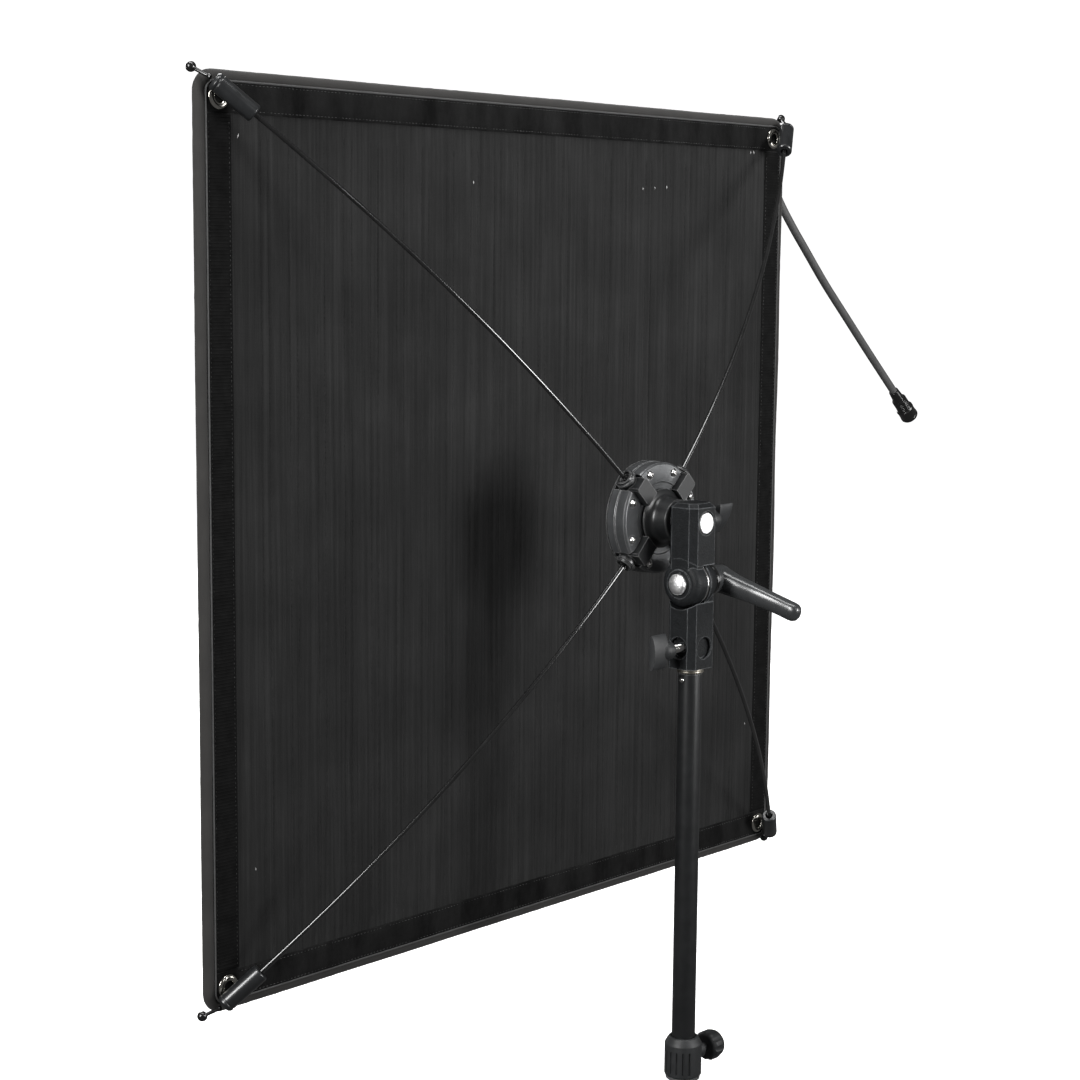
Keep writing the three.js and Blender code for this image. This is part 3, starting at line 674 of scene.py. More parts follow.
def lead():
    route = [Vector((x, BACK_Y + depth, PANEL_Z + z)) for x, depth, z in LEAD_ROUTE]
    path = curve_through(route, 4)
    length = sum((b - a).length for a, b in zip(path, path[1:]))
    tube = swept(path, lambda i: circle(CABLE_R, 24), Y)
    cable = make_piece("cable", tube, RUBBER, "panel", ["lead"])

    out = (route[0] - route[1]).normalized()
    relief_rings = [(0, 0.4), (4.5, 0.4)]
    for k in range(5):
        start = 1.2 + 3 * k
        swell = 4.7 + 0.3 * k
        groove = swell - 0.7
        relief_rings += [(swell, start), (swell, start + 1.7), (groove, start + 1.9), (groove, start + 2.8)]
    relief_rings += [(6.2, 17), (0, 17)]
    relief = turned(relief_rings, route[0], out, 40, 0.25)
    housing_low = Vector((-HALF + 4, BACK_Y - GLAND_DEPTH, PANEL_Z + HALF - 22))
    housing_high = Vector((-HALF + 19, FRONT_Y - 0.3, PANEL_Z + HALF - 2))
    gland_mesh = carved("gland", block(housing_low, housing_high), [relief], [], 0.8)
    gland = finish_piece("strain_relief", gland_mesh, MOULDED, "panel", ["lead_gland"])

    onward = (route[-1] - route[-2]).normalized()
    grip = [(0, 0.3), (4.4, 0.3), (5.2, 11), (6.6, 12.5), (6.6, 13.6)]
    for k in range(5):
        at = 14 + 1.9 * k
        grip += [(6.1, at), (6.1, at + 0.8), (6.6, at + 1.0), (6.6, at + 1.7)]
    grip += [(6.6, 24), (8, 24.6), (8, 26), (7.7, 26.3), (7.7, 33.6), (8, 34), (8, 36), (7.4, 37),
             (5.4, 37), (5.4, 31), (0, 31)]
    pins = []
    side, across, _ = axis_frame(onward)
    for k in range(3):
        angle = 2 * pi * k / 3
        offset = side * cos(angle) * 2.6 + across * sin(angle) * 2.6
        pins.append(drum(0.7, 30.5, 35.5, route[-1] + offset, onward, 16, 0.2))
    connector = make_piece("connector", turned(grip, route[-1], onward, 48, 0.2), GLOSS, "panel",
                           ["lead_connector"])
    contacts = make_piece("connector_pins", merge(*pins), STEEL, "panel")


lead()


# ---- light panel ----
CORNER_R = 14
THICK = BACK_Y - FRONT_Y
BINDING_WIDTH = 6.7
TAPE_WIDTH = 20
CHANNEL_PITCH = 23.5
CHANNEL_GAP = 6.4
CHANNEL_TOP = 262
CHANNEL_LOW = -270
INNER = HALF - BINDING_WIDTH
INNER_CORNER_R = CORNER_R - BINDING_WIDTH
CLOTH_LIMIT = INNER - 0.3
TAPE_HOLE_R = 6.2
TAPE_SEAM_INSET = 1.8
TAPE_STITCH_PITCH = 3.0
TAPE_STITCH = (2.2, 0.36, 0.25)


def stitch_line_x():
    """The x of every sewn line of the quilted back."""
    lines = []
    for pair in range(-11, 11):
        centre = CHANNEL_PITCH * (pair + 0.5)
        lines += [centre - CHANNEL_GAP / 2, centre + CHANNEL_GAP / 2]
    return lines


STITCHED = stitch_line_x()


def wander(x, z):
    """How far a sewn line strays sideways as it runs down the mat."""
    return 0.45 * noise.noise(Vector((x * 0.31, 0, z * 0.012))) + 0.2 * sin(z * 0.05 + x)


def channel_top(x):
    return CHANNEL_TOP + 5 * noise.noise(Vector((x * 0.7, 3, 0)))


def quilt_height(x, z):
    """How far the quilted back stands out of its plane."""
    centre = CHANNEL_PITCH * (min(max(floor(x / CHANNEL_PITCH), -11), 10) + 0.5)
    nearest = centre + CHANNEL_GAP / 2 * (1 if x > centre else -1)
    away = abs(x - nearest - wander(nearest, z))
    top = channel_top(nearest)
    inside = min(max((top - z) / 5, 0), 1) * min(max((z - CHANNEL_LOW) / 5, 0), 1)
    deep = 0.75 + 0.25 * sin(z * 2 * pi / 3.4)
    fade = 0.55 + 0.45 * min(max((z + 250) / 500, 0), 1)
    groove = -0.7 * inside * deep * fade * (1 / (1 + (away / 0.75) ** 2))
    pucker = 0.22 * inside * noise.noise(Vector((x * 0.25, 1, z * 0.2))) / (1 + (away / 3) ** 2)
    swell = 0.35 * inside * min(away / 5, 1)
    slack = 0.5 * noise.noise(Vector((x * 0.008, 7, z * 0.008)))
    edge = min(max((INNER - TAPE_WIDTH - max(abs(x), abs(z))) / 8, 0), 1)
    return (groove + pucker + swell + slack) * edge


def sheet_shape(xs, zs, back, front, round_off=None):
    """A closed sheet: back(x, z) and front(x, z) give its two faces' y."""
    columns, rows = len(xs), len(zs)
    vertices = [Vector((x, back(x, z), PANEL_Z + z)) for z in zs for x in xs]
    vertices += [Vector((x, front(x, z), PANEL_Z + z)) for z in zs for x in xs]
    if round_off:
        vertices = [round_off(v) for v in vertices]
    second = columns * rows
    faces = []
    for r in range(rows - 1):
        for c in range(columns - 1):
            a = r * columns + c
            quad = (a, a + 1, a + columns + 1, a + columns)
            faces.append(quad)
            faces.append(tuple(second + i for i in reversed(quad)))
    rim = list(range(columns))
    rim += [r * columns + columns - 1 for r in range(1, rows)]
    rim += [(rows - 1) * columns + c for c in range(columns - 2, -1, -1)]
    rim += [r * columns for r in range(rows - 2, 0, -1)]
    for i, j in zip(rim, rim[1:] + rim[:1]):
        faces.append((i, j, second + j, second + i))
    return vertices, faces


def spaced(low, high, step):
    count = max(1, round((high - low) / step))
    return [low + (high - low) * i / count for i in range(count + 1)]


def rounded_corner(limit, radius):
    """Pulls the square corners of a sheet in to a round of that radius."""
    def pull(v):
        x, z = v.x, v.z - PANEL_Z
        over_x, over_z = abs(x) - (limit - radius), abs(z) - (limit - radius)
        if over_x > 0 and over_z > 0:
            reach = max(over_x, over_z)
            shrink = reach / sqrt(over_x ** 2 + over_z ** 2)
            x = (limit - radius + over_x * shrink) * (1 if x > 0 else -1)
            z = (limit - radius + over_z * shrink) * (1 if z > 0 else -1)
        return Vector((x, v.y, PANEL_Z + z))
    return pull


def quilted_mat():
    fine = [-CLOTH_LIMIT, -INNER + 6, -INNER + 12]
    offsets = (-2.6, -1.4, -0.7, 0, 0.7, 1.4, 2.6)
    for line in STITCHED:
        fine += [line + offset for offset in offsets]
    for pair in range(-11, 12):
        middle = CHANNEL_PITCH * pair
        fine += [middle - 4.5, middle, middle + 4.5]
    fine += [INNER - 12, INNER - 6, CLOTH_LIMIT]
    xs = sorted(set(round(x, 3) for x in fine if abs(x) <= CLOTH_LIMIT))
    zs = spaced(-CLOTH_LIMIT, CLOTH_LIMIT, 1.7)
    shape = sheet_shape(xs, zs, lambda x, z: BACK_Y - 0.1 + quilt_height(x, z), lambda x, z: BACK_Y - 2.1,
                        rounded_corner(CLOTH_LIMIT, INNER_CORNER_R))
    mat = make_piece("quilted_back", shape, QUILT, "panel", ["mat_back"], 60)


def stitch(centre, along, out, length=2.3, wide=0.36, high=0.3):
    """One sewn stitch: a lozenge of thread lying on the cloth."""
    along, out = Vector(along), Vector(out)
    across = along.cross(out)
    points = [centre - along * length / 2 - out * 0.1, centre + along * length / 2 - out * 0.1,
              centre + across * wide / 2, centre - across * wide / 2,
              centre + out * high, centre - out * 0.2]
    faces = [(0, 4, 2), (2, 4, 1), (1, 4, 3), (3, 4, 0), (2, 5, 0), (1, 5, 2), (3, 5, 1), (0, 5, 3)]
    return points, faces


def channel_stitches():
    stitches = []
    for line in STITCHED:
        z = CHANNEL_LOW + 2
        while z < channel_top(line) - 1:
            x = line + wander(line, z)
            y = BACK_Y - 0.05 + quilt_height(x, z)
            stitches.append(stitch(Vector((x, y, PANEL_Z + z)), Z, Y))
            z += 3.4
    make_piece("channel_stitches", merge(*stitches), DARK_THREAD, "panel")


def loose_threads():
    """A few pale thread ends and knots, where a seam was tied off."""
    ends = [(-254.5, 271.5), (-258.5, 271.5), (268, 260), (-150, 241), (-136, 240), (-122, 239), (60, 238),
            (-263, -195), (180, 228), (259, -210)]
    knots = []
    for index, (x, z) in enumerate(ends):
        centre = Vector((x, BACK_Y + 0.35, PANEL_Z + z))
        lean = Vector((0.4 * sin(index * 2.1), 0, 1)).normalized()
        knots.append(stitch(centre, lean, Y, 2.8 + 0.8 * sin(index), 0.9, 0.7))
    make_piece("thread_ends", merge(*knots), PALE_THREAD, "panel")


def rounded_square(limit, radius, corner_steps, edge_step):
    """Points round a rounded square, anticlockwise seen from behind."""
    points = []
    for k in range(4):
        turn = Matrix.Rotation(k * pi / 2, 3, "Y")
        for step in range(corner_steps):
            angle = pi / 2 * step / corner_steps
            corner = Vector((limit - radius + radius * sin(angle), 0, limit - radius + radius * cos(angle)))
            points.append(turn @ corner)
        straight = spaced(limit - radius, -(limit - radius), -edge_step)
        points += [turn @ Vector((limit, 0, z)) for z in straight[:-1]]
    return points


def edge_binding():
    outline = rounded_square(HALF - 3.6, CORNER_R - 3.6, 12, 5)
    path = [Vector((p.x, BACK_Y - THICK / 2, PANEL_Z + p.z)) for p in outline]
    # (outward, behind) offsets of the folded strip from its middle line
    half_fold = [(-3.1, 2.9), (-2.6, 3.4), (-1.2, 3.75), (0.4, 3.7), (1.8, 3.1), (2.9, 2.0), (3.5, 0.8)]
    fold = half_fold + [(a, -b) for a, b in reversed(half_fold)]
    fold += [(-3.1, -2.2), (-2.4, -1.2), (-2.4, 1.2), (-3.1, 2.2)]
    middle = Vector((0, BACK_Y - THICK / 2, PANEL_Z))

    vertices = []
    count = len(fold)
    for i, point in enumerate(path):
        before, after = path[i - 1], path[(i + 1) % len(path)]
        out = (after - before).normalized().cross(Y).normalized()
        if out.dot(point - middle) < 0:
            out = -out
        for k, (a, b) in enumerate(fold):
            ripple = 0.22 * noise.noise(Vector((i * 0.8, k * 0.5, 2))) if k < 2 * len(half_fold) else 0
            slow = 0.5 * noise.noise(point * 0.012)
            vertices.append(point + out * (a + ripple + slow * 0.4) + Y * (b * (1 + ripple * 0.1) + slow))
    faces = []
    for i in range(len(path)):
        faces += band(i * count, (i + 1) % len(path) * count, count)
    make_piece("bound_edge", (vertices, faces), BINDING, "panel", ["edge_binding"], 70)

    seam = []
    line = rounded_square(HALF - 5.9, CORNER_R - 5.9, 8, 3)
    for p, q in zip(line, line[1:] + line[:1]):
        if (q - p).length > 1.5:
            centre = Vector(((p.x + q.x) / 2, BACK_Y + 0.15, PANEL_Z + (p.z + q.z) / 2))
            seam.append(stitch(centre, (q - p).normalized(), Y, 2.0, 0.34, 0.3))
    make_piece("binding_stitches", merge(*seam), DARK_THREAD, "panel")

    # A pale cord round the inside of the binding. Its lighter grey is a painted highlight, standing in for
    # the lit top edge of the tape.
    welt = rounded_square(INNER - 0.2, INNER_CORNER_R, 8, 8)
    welt_path = [Vector((p.x, BACK_Y + 0.75, PANEL_Z + p.z)) for p in welt]
    cord = swept(welt_path, lambda i: circle(0.55, 8), Y, closed=True)
    make_piece("edge_welt", cord, GREY_THREAD, "panel")


def tape(name, material, centre, width, height, ridge):
    """A strip of tape, ribbed or brushed on its face, sewn down along its two long sides."""
    x0, z0 = centre
    half_w, half_h = width / 2, height / 2
    vertical = height > width
    across_half, along_half = (half_w, half_h) if vertical else (half_h, half_w)

    def face(x, z):
        across = abs(x - x0) if vertical else abs(z - z0)
        along = (z - z0) if vertical else (x - x0)
        edge = min((across_half - across) / 0.8, (along_half - abs(along)) / 0.8, 1)
        sewn = 0.35 / (1 + ((across - across_half + TAPE_SEAM_INSET) / 0.5) ** 2)
        return BACK_Y + 0.55 + 0.55 * max(edge, 0) - sewn + ridge(x, z) * max(edge, 0)

    xs = spaced(x0 - half_w, x0 + half_w, 1.0 if vertical else 1.3)
    zs = spaced(z0 - half_h, z0 + half_h, 0.55 if vertical else 1.0)
    shape = sheet_shape(xs, zs, face, lambda x, z: BACK_Y + 0.3)
    if not vertical:
        holes = [drum(TAPE_HOLE_R, -5, 5, (s * EYELET_AT, BACK_Y, PANEL_Z + z0), Y, 40) for s in (-1, 1)]
        mesh = carved(name, shape, [], holes, 0)
        finish_piece(name + "_strip", mesh, material, "panel", [name], 60)
    else:
        make_piece(name + "_strip", shape, material, "panel", [name], 60)
    seams = []
    for edge in (-1, 1):
        at = -along_half + 3
        while at < along_half - 3:
            off = edge * (across_half - TAPE_SEAM_INSET)
            x, z = (x0 + off, z0 + at) if vertical else (x0 + at, z0 + off)
            if abs(abs(x) - EYELET_AT) > 9 or abs(abs(z) - EYELET_AT) > 9:
                place = Vector((x, BACK_Y + 0.85, PANEL_Z + z))
                seams.append(stitch(place, Z if vertical else X, Y, *TAPE_STITCH))
            at += TAPE_STITCH_PITCH
    return seams


def tapes():
    def brushed(x, z):
        pile = 0.32 * noise.noise(Vector((x * 0.8, 0, z * 0.8)))
        return pile + 0.3 * noise.noise(Vector((x * 0.09, 5, z * 0.05)))

    def ribbed(x, z):
        return 0.16 * sin(2 * pi * z / 2.2) + 0.05 * noise.noise(Vector((x * 0.5, 9, z * 0.5)))

    long = 2 * INNER - 1.4
    short = 2 * INNER - 2 * TAPE_WIDTH - 1.4
    seams = tape("tape_top", LOOP, (0, EYELET_AT), long, TAPE_WIDTH - 0.5, brushed)
    seams += tape("tape_bottom", LOOP, (0, -EYELET_AT), long, TAPE_WIDTH - 0.5, brushed)
    seams += tape("tape_left", HOOK, (-EYELET_AT, 0), TAPE_WIDTH - 0.5, short, ribbed)
    seams += tape("tape_right", HOOK, (EYELET_AT, 0), TAPE_WIDTH - 0.5, short, ribbed)
    make_piece("tape_stitches", merge(*seams), GREY_THREAD, "panel")


def eyelets():
    profile = [(4.0, -2.5), (4.0, 1.9), (4.5, 2.5), (5.2, 2.75), (6.3, 2.6), (7.3, 2.1), (7.9, 1.5),
               (8.0, 1.25), (6.1, 1.25), (6.1, -2.5), (4.0, -2.5)]
    for corner, sx, sz in CORNERS:
        centre = (sx * EYELET_AT, BACK_Y, PANEL_Z + sz * EYELET_AT)
        make_piece(f"eyelet_ring_{corner}", turned(profile, centre, Y, 64, 0.3), NICKEL, "panel",
                   [f"eyelet_{corner}"])


def diffuser():
    def front(x, z):
        reach = max(abs(x), abs(z)) / CLOTH_LIMIT
        crown = 1.2 * (1 - reach ** 4)
        tension = 0.18 * sin((abs(x) + abs(z)) * 0.14) * reach ** 6
        slack = 0.5 * noise.noise(Vector((x * 0.01, 4, z * 0.01))) * (1 - reach ** 3)
        return FRONT_Y + 0.9 - crown * 0.6 - tension + slack * 0.4

    steps = spaced(-CLOTH_LIMIT, CLOTH_LIMIT, 6)
    shape = sheet_shape(steps, steps, lambda x, z: front(x, z) + 0.6, front,
                        rounded_corner(CLOTH_LIMIT, INNER_CORNER_R))
    cloth = make_piece("diffuser", shape, CLOTH, "panel", ["diffuser_cloth"], 60)


quilted_mat()
channel_stitches()
loose_threads()
edge_binding()
tapes()
eyelets()
diffuser()
# the hidden board stays the CAD's own shape and only gets its lacquer
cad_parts["led_board"].data.materials.clear()
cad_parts["led_board"].data.materials.append(BOARD)


# ---- spider: hub, sockets, rods and corner sleeves ----
HUB_CENTRE = Vector((0, BACK_Y, HUB_Z))
HUB_FACE = 124
BOSS_R = 20.5
ROD_R = 1.6
ROD_ROOT_R = 40
ROD_ROOT_DEPTH = 116.5
ROD_ROOT_SLOPE = 0.093
SLEEVE_INNER, SLEEVE_INNER_DEPTH = 40, 21
SLEEVE_OUTER, SLEEVE_OUTER_DEPTH = 11, 7.4
BALL_R = 3.4
SCREW_CIRCLE_R = 33


class CornerPlane:
    """The upright plane through the hub's axis and one corner of the panel."""

    def __init__(self, sx, sz):
        to_corner = Vector((sx * HALF, 0, sz * HALF - HUB_RISE))
        self.length = to_corner.length
        self.along = to_corner.normalized()
        self.across = self.along.cross(Y)

    def point(self, radial, depth, aside=0.0):
        return HUB_CENTRE + self.along * radial + Y * depth + self.across * aside

    def wedge(self, outline, low, high):
        return prism(outline, low, high, lambda u, v, w: self.point(u, w, v))


def strip_outline(inner, outer, width):
    half = width / 2
    return [(inner, -half), (outer, -half), (outer, half), (inner, half)]


def hub():
    base = [(8.4, 106), (37.4, 106), (38.8, 107.4), (38.8, 108), (8.4, 108), (8.4, 106)]
    make_piece("hub_back_drum", turned(base, HUB_CENTRE, Y, 128, 0.5), PAINT, "panel",
               ["hub_base"])

    cover = [(8.4, 108.3), (38.4, 108.3), (38.8, 108.7), (38.8, 114.6), (38.0, 115), (38.0, 115.5),
             (38.4, 115.9), (38.4, 122.6), (37.5, 123.7), (36.9, HUB_FACE), (25.4, HUB_FACE),
             (24.6, HUB_FACE - 0.7), (8.4, HUB_FACE - 0.7), (8.4, 108.3)]
    slots = []
    for _, sx, sz in CORNERS:
        plane = CornerPlane(sx, sz)
        slots.append(plane.wedge(strip_outline(BOSS_R, 45, 12.6), 111.3, HUB_FACE + 5))
        slots.append(plane.wedge(strip_outline(34.8, 45, 14.6), 109.2, HUB_FACE + 5))
    seats = [drum(3.3, HUB_FACE - 0.6, HUB_FACE + 2, screw_place(k), Y, 40) for k in range(8)]
    mesh = carved("hub_cover", turned(cover, HUB_CENTRE, Y, 128, 0.3), [], slots + seats, 0.35)
    finish_piece("hub_face_plate", mesh, TURNED, "panel", ["hub_cover"], CRISP)

    boss = [(8.4, HUB_FACE + 0.3), (BOSS_R, HUB_FACE + 0.3), (BOSS_R, HUB_FACE + 1.6),
            (18.6, HUB_FACE + 2.6), (16.2, HUB_FACE + 3.6), (15.0, HUB_FACE + 5.4), (14.6, HUB_FACE + 8),
            (14.2, HUB_FACE + 15), (13.4, HUB_FACE + 15.7), (8.4, HUB_FACE + 15.7), (8.4, HUB_FACE + 0.3)]
    make_piece("hub_neck", turned(boss, HUB_CENTRE, Y, 96, 1.2), PAINT, "panel",
               ["hub_boss"])

    pin = [(0, 107), (8, 107), (8, 162.2), (6.9, 164.3), (0, 164.3)]
    make_piece("hub_spindle", turned(pin, HUB_CENTRE, Y, 72, 0.1), DIMPLED, "panel",
               ["spindle"])


def screw_place(index):
    angle = pi / 8 + index * pi / 4
    return HUB_CENTRE + X * SCREW_CIRCLE_R * cos(angle) + Z * SCREW_CIRCLE_R * sin(angle)


def hexagon(radius, low, high, origin, axis, turn=0.0):
    side, across, along = axis_frame(axis)
    outline = [(radius * cos(k * pi / 3 + turn), radius * sin(k * pi / 3 + turn)) for k in range(6)]
    return prism(outline, low, high, lambda u, v, w: Vector(origin) + side * u + across * v + along * w)


def hub_screws():
    head = [(0, HUB_FACE - 0.2), (2.6, HUB_FACE - 0.2), (2.6, HUB_FACE + 0.4), (2.35, HUB_FACE + 1.2),
            (1.9, HUB_FACE + 1.8), (1.3, HUB_FACE + 2.1), (0, HUB_FACE + 2.15)]
    for k in range(8):
        place = screw_place(k)
        recess = hexagon(1.05, HUB_FACE + 0.9, HUB_FACE + 4, place, Y, k * 0.7)
        mesh = carved(f"screw_{k + 1}", turned(head, place, Y, 40, 0.25), [], [recess], 0.08)
        finish_piece(f"button_screw_{k + 1}", mesh, STEEL, "panel",
                     [f"hub_screw_{k + 1}"], 30)


def rod_socket(corner, plane):
    seat, rim = 111.6, 129
    outline = [(BOSS_R + 0.3, -6), (36, -6), (37.5, -4.8), (37.5, 4.8), (36, 6), (BOSS_R + 0.3, 6)]
    body = plane.wedge(outline, seat, rim)
    start = plane.point(36, ROD_ROOT_DEPTH + ROD_ROOT_SLOPE * 4)
    out = (plane.point(ROD_ROOT_R, ROD_ROOT_DEPTH) - start).normalized()
    cup = turned([(0, -1), (6.1, -1), (6.1, 3.4), (7.2, 3.7), (7.2, 5.0), (6.4, 5.4), (6.0, 7), (0, 7)],
                 start, out, 56, 0.2)
    # the round mouth, dished in towards the rod
    mouth = turned([(0, 4.6), (4.2, 5.4), (5.1, 7.6), (0, 7.6)], start, out, 48, 0.1)
    bore = drum(ROD_R + 0.5, -4.6, 8, start, out, 32)
    mesh = carved(f"socket_{corner}", body, [cup], [bore, mouth], 0.7)
    finish_piece(f"rod_socket_{corner}", mesh, PAINT, "panel", [f"socket_{corner}"],
                 CRISP)


def rod_path(plane):
    inner_end = plane.length - SLEEVE_INNER
    span = inner_end - ROD_ROOT_R
    a = plane.point(ROD_ROOT_R, ROD_ROOT_DEPTH)
    b = plane.point(ROD_ROOT_R + span / 2, ROD_ROOT_DEPTH - ROD_ROOT_SLOPE * span / 2)
    c = plane.point(inner_end, SLEEVE_INNER_DEPTH)
    points = [a * (1 - t) ** 2 + b * 2 * t * (1 - t) + c * t * t for t in (k / 48 for k in range(49))]
    root = points[0] + (points[0] - points[1]).normalized() * 8
    outer = plane.point(plane.length - SLEEVE_OUTER, SLEEVE_OUTER_DEPTH)
    tip = points[-1] + (outer - points[-1]).normalized() * 12
    return [root, *points, tip]


def spring_rod(corner, plane):
    path = rod_path(plane)
    shape = swept(path, lambda i: circle(ROD_R, 20), Y)
    make_piece(f"spring_rod_{corner}", shape, ROD, "panel", [f"rod_{corner}"], 50)


def corner_sleeve(corner, plane):
    inner = plane.point(plane.length - SLEEVE_INNER, SLEEVE_INNER_DEPTH)
    outer = plane.point(plane.length - SLEEVE_OUTER, SLEEVE_OUTER_DEPTH)
    axis = (outer - inner).normalized()
    length = (outer - inner).length
    profile = [(0, 13.5), (2.2, 13.5), (2.2, 1.2), (2.8, 0), (5.1, 0), (6, 0.9), (6, length - 4.2),
               (5.7, length - 3.9), (5.7, length - 3.3), (6, length - 3.0), (6, length - 1.6),
               (4.6, length), (0, length)]
    make_piece(f"rod_sleeve_{corner}", turned(profile, inner, axis, 72, 0.3), SLEEVE, "panel",
               [f"sleeve_{corner}"], 50)

    neck = outer + axis * 2.4
    ball = plane.point(plane.length + 0.4, -4.5)
    reach = (ball - neck).length
    tip = [(0, 0), (1.8, 0), (1.7, 1.0), (1.2, 2.5)]
    for step in range(10):
        angle = pi * (0.88 - 0.88 * step / 9)
        tip.append((BALL_R * sin(angle), reach - BALL_R * cos(pi - angle)))
    tip[-1] = (0, reach + BALL_R)
    make_piece(f"corner_tip_{corner}", turned(tip, neck, ball - neck, 48, 0.3), GLOSS, "panel",
               [f"tip_{corner}"], 60)


hub()
hub_screws()
for corner, sx, sz in CORNERS:
    plane = CornerPlane(sx, sz)
    rod_socket(corner, plane)
    spring_rod(corner, plane)
    corner_sleeve(corner, plane)


# ---- tilting bracket ----
ARM_X, ARM_Y, CHAMFER = 27, 24, 4.5
SADDLE_R, BARREL_R, CHEEK_R = 17.5, 16, 17
CHEEK_END_R = 11.5
BOLT_ROOM_R = 4.4
SPINDLE_ROOM_R = 8.3
STUD_HOLE_R = 3.3
CROSS_HOLE_R = 7.2
WASHER_X, WASHER_THICK = 0.6, 1.7
TONGUE_X = WASHER_X + WASHER_THICK + 0.3
TILT_CENTRE = Vector((0, 0, TILT_Z))
QUARTER_TURN = [pi / 2 * k / 8 for k in range(9)]


def bar_outline(shrink=0.0):
    x, y, c = ARM_X / 2 - shrink, ARM_Y / 2 - shrink, CHAMFER
    return [(-x + c, -y), (x - c, -y), (x, -y + c), (x, y - c),
            (x - c, y), (-x + c, y), (-x, y - c), (-x, -y + c)]


def bar(low, high):
    return prism(bar_outline(), low, high)


def shape_of(mesh):
    return [v.co / MM for v in mesh.vertices], [tuple(p.vertices) for p in mesh.polygons]


def upper_arm():
    top = HUB_Z + ARM_X / 2
    cap = prism(bar_outline(), top - 3.05, top, top=bar_outline(2.6))
    half_x, half_y = ARM_X / 2 - 0.1, ARM_Y / 2 - 0.1
    web_outline = [(TONGUE_X, -half_y), (half_x - CHAMFER, -half_y), (half_x, CHAMFER - half_y),
                   (half_x, half_y - CHAMFER), (half_x - CHAMFER, half_y), (TONGUE_X, half_y)]
    web = prism(web_outline, TILT_Z, TILT_Z + SADDLE_R + 1)
    end = ARM_X / 2
    dome = [(BARREL_R - 5 + 5 * cos(a), end - 4.6 + 4.6 * sin(a)) for a in QUARTER_TURN]
    barrel = turned([(0, TONGUE_X), (BARREL_R, TONGUE_X), *dome, (0, end)], TILT_CENTRE, X, 112, 0)
    collar = drum(10, ARM_X / 2 - 1, ARM_X / 2 + 1, TILT_CENTRE, X, 64)
    removed = [
        drum(BOLT_ROOM_R, -20, 20, TILT_CENTRE, X, 48),
        drum(SPINDLE_ROOM_R, -20, 20, (0, 0, HUB_Z), Y, 64),
        drum(STUD_HOLE_R, 0, 20, (0, 0, HUB_Z), -X, 40),
    ]
    saddle = drum(SADDLE_R, -20, 20, TILT_CENTRE, X, 112)
    column = carved("arm_column", bar(TILT_Z + 5, top - 3), [cap], [saddle], 0)
    mesh = carved("upper_arm", shape_of(column), [web, barrel, collar], removed, 0.55)
    finish_piece("tilt_arm", mesh, POWDER, "arm", ["upper_arm"], CRISP)

    ring = turned([(4.4, WASHER_X), (15.6, WASHER_X), (16, WASHER_X + 0.4), (16, WASHER_X + 1.3),
                   (15.6, WASHER_X + 1.7), (4.4, WASHER_X + 1.7), (4.4, WASHER_X)],
                  TILT_CENTRE, X, 112, 0.2)
    make_piece("toothed_washer", ring, STEEL, "arm", ["tilt_washer"])

    start = ARM_X / 2 + 1.3
    head = [(0, -16.5), (4, -16.5), (4, start), (7.1, start), (7.1, start + 1.2)]
    head += [(6.8 * cos(a), start + 1.2 + 2.9 * sin(a)) for a in QUARTER_TURN]
    make_piece("tilt_bolt_head", turned(head, TILT_CENTRE, X, 72, 0), DIMPLED, "arm",
               ["tilt_bolt"], 50)


def lower_block():
    cheek_x = WASHER_X - 0.3
    half_x, half_y = ARM_X / 2 - 0.2, ARM_Y / 2 - 0.3
    web_outline = [(cheek_x, -half_y), (cheek_x, half_y), (CHAMFER - half_x, half_y),
                   (-half_x, half_y - CHAMFER), (-half_x, CHAMFER - half_y), (CHAMFER - half_x, -half_y)]
    web = prism(web_outline, TILT_Z - SADDLE_R - 1, TILT_Z)
    cheek = turned([(0, -ARM_X / 2), (CHEEK_END_R, -ARM_X / 2), (CHEEK_R, cheek_x - 3), (CHEEK_R, cheek_x),
                    (0, cheek_x)], TILT_CENTRE, X, 112, 1.0)
    saddle = drum(SADDLE_R, -20, 20, TILT_CENTRE, X, 112)
    column = carved("block_column", bar(BLOCK_Z, TILT_Z - 5), [], [saddle], 0)
    knob_centre = (0, 0, KNOB_Z)
    knob_seat = [(0, 9.5), (CROSS_HOLE_R, 9.5), (CROSS_HOLE_R, 12.8), (8.2, 14), (8.2, 20), (0, 20)]
    cross_hole = [(0, 9.1), (CROSS_HOLE_R, 9.1), (CROSS_HOLE_R, 11.3), (8.0, 12.3), (8.0, 20), (0, 20)]
    removed = [
        drum(SPINDLE_ROOM_R, -1, 39, (0, 0, BLOCK_Z), Z, 64),
        turned(knob_seat, knob_centre, X, 64, 0),
        drum(STUD_HOLE_R, 0, 20, knob_centre, X, 40),
        turned(cross_hole, knob_centre, Y, 64, 0),
        drum(BOLT_ROOM_R, -20, 20, TILT_CENTRE, X, 48),
    ]
    mesh = carved("lower_block", shape_of(column), [web, cheek], removed, 0.5)
    finish_piece("stand_block", mesh, POWDER, "block", ["lower_block"], CRISP)


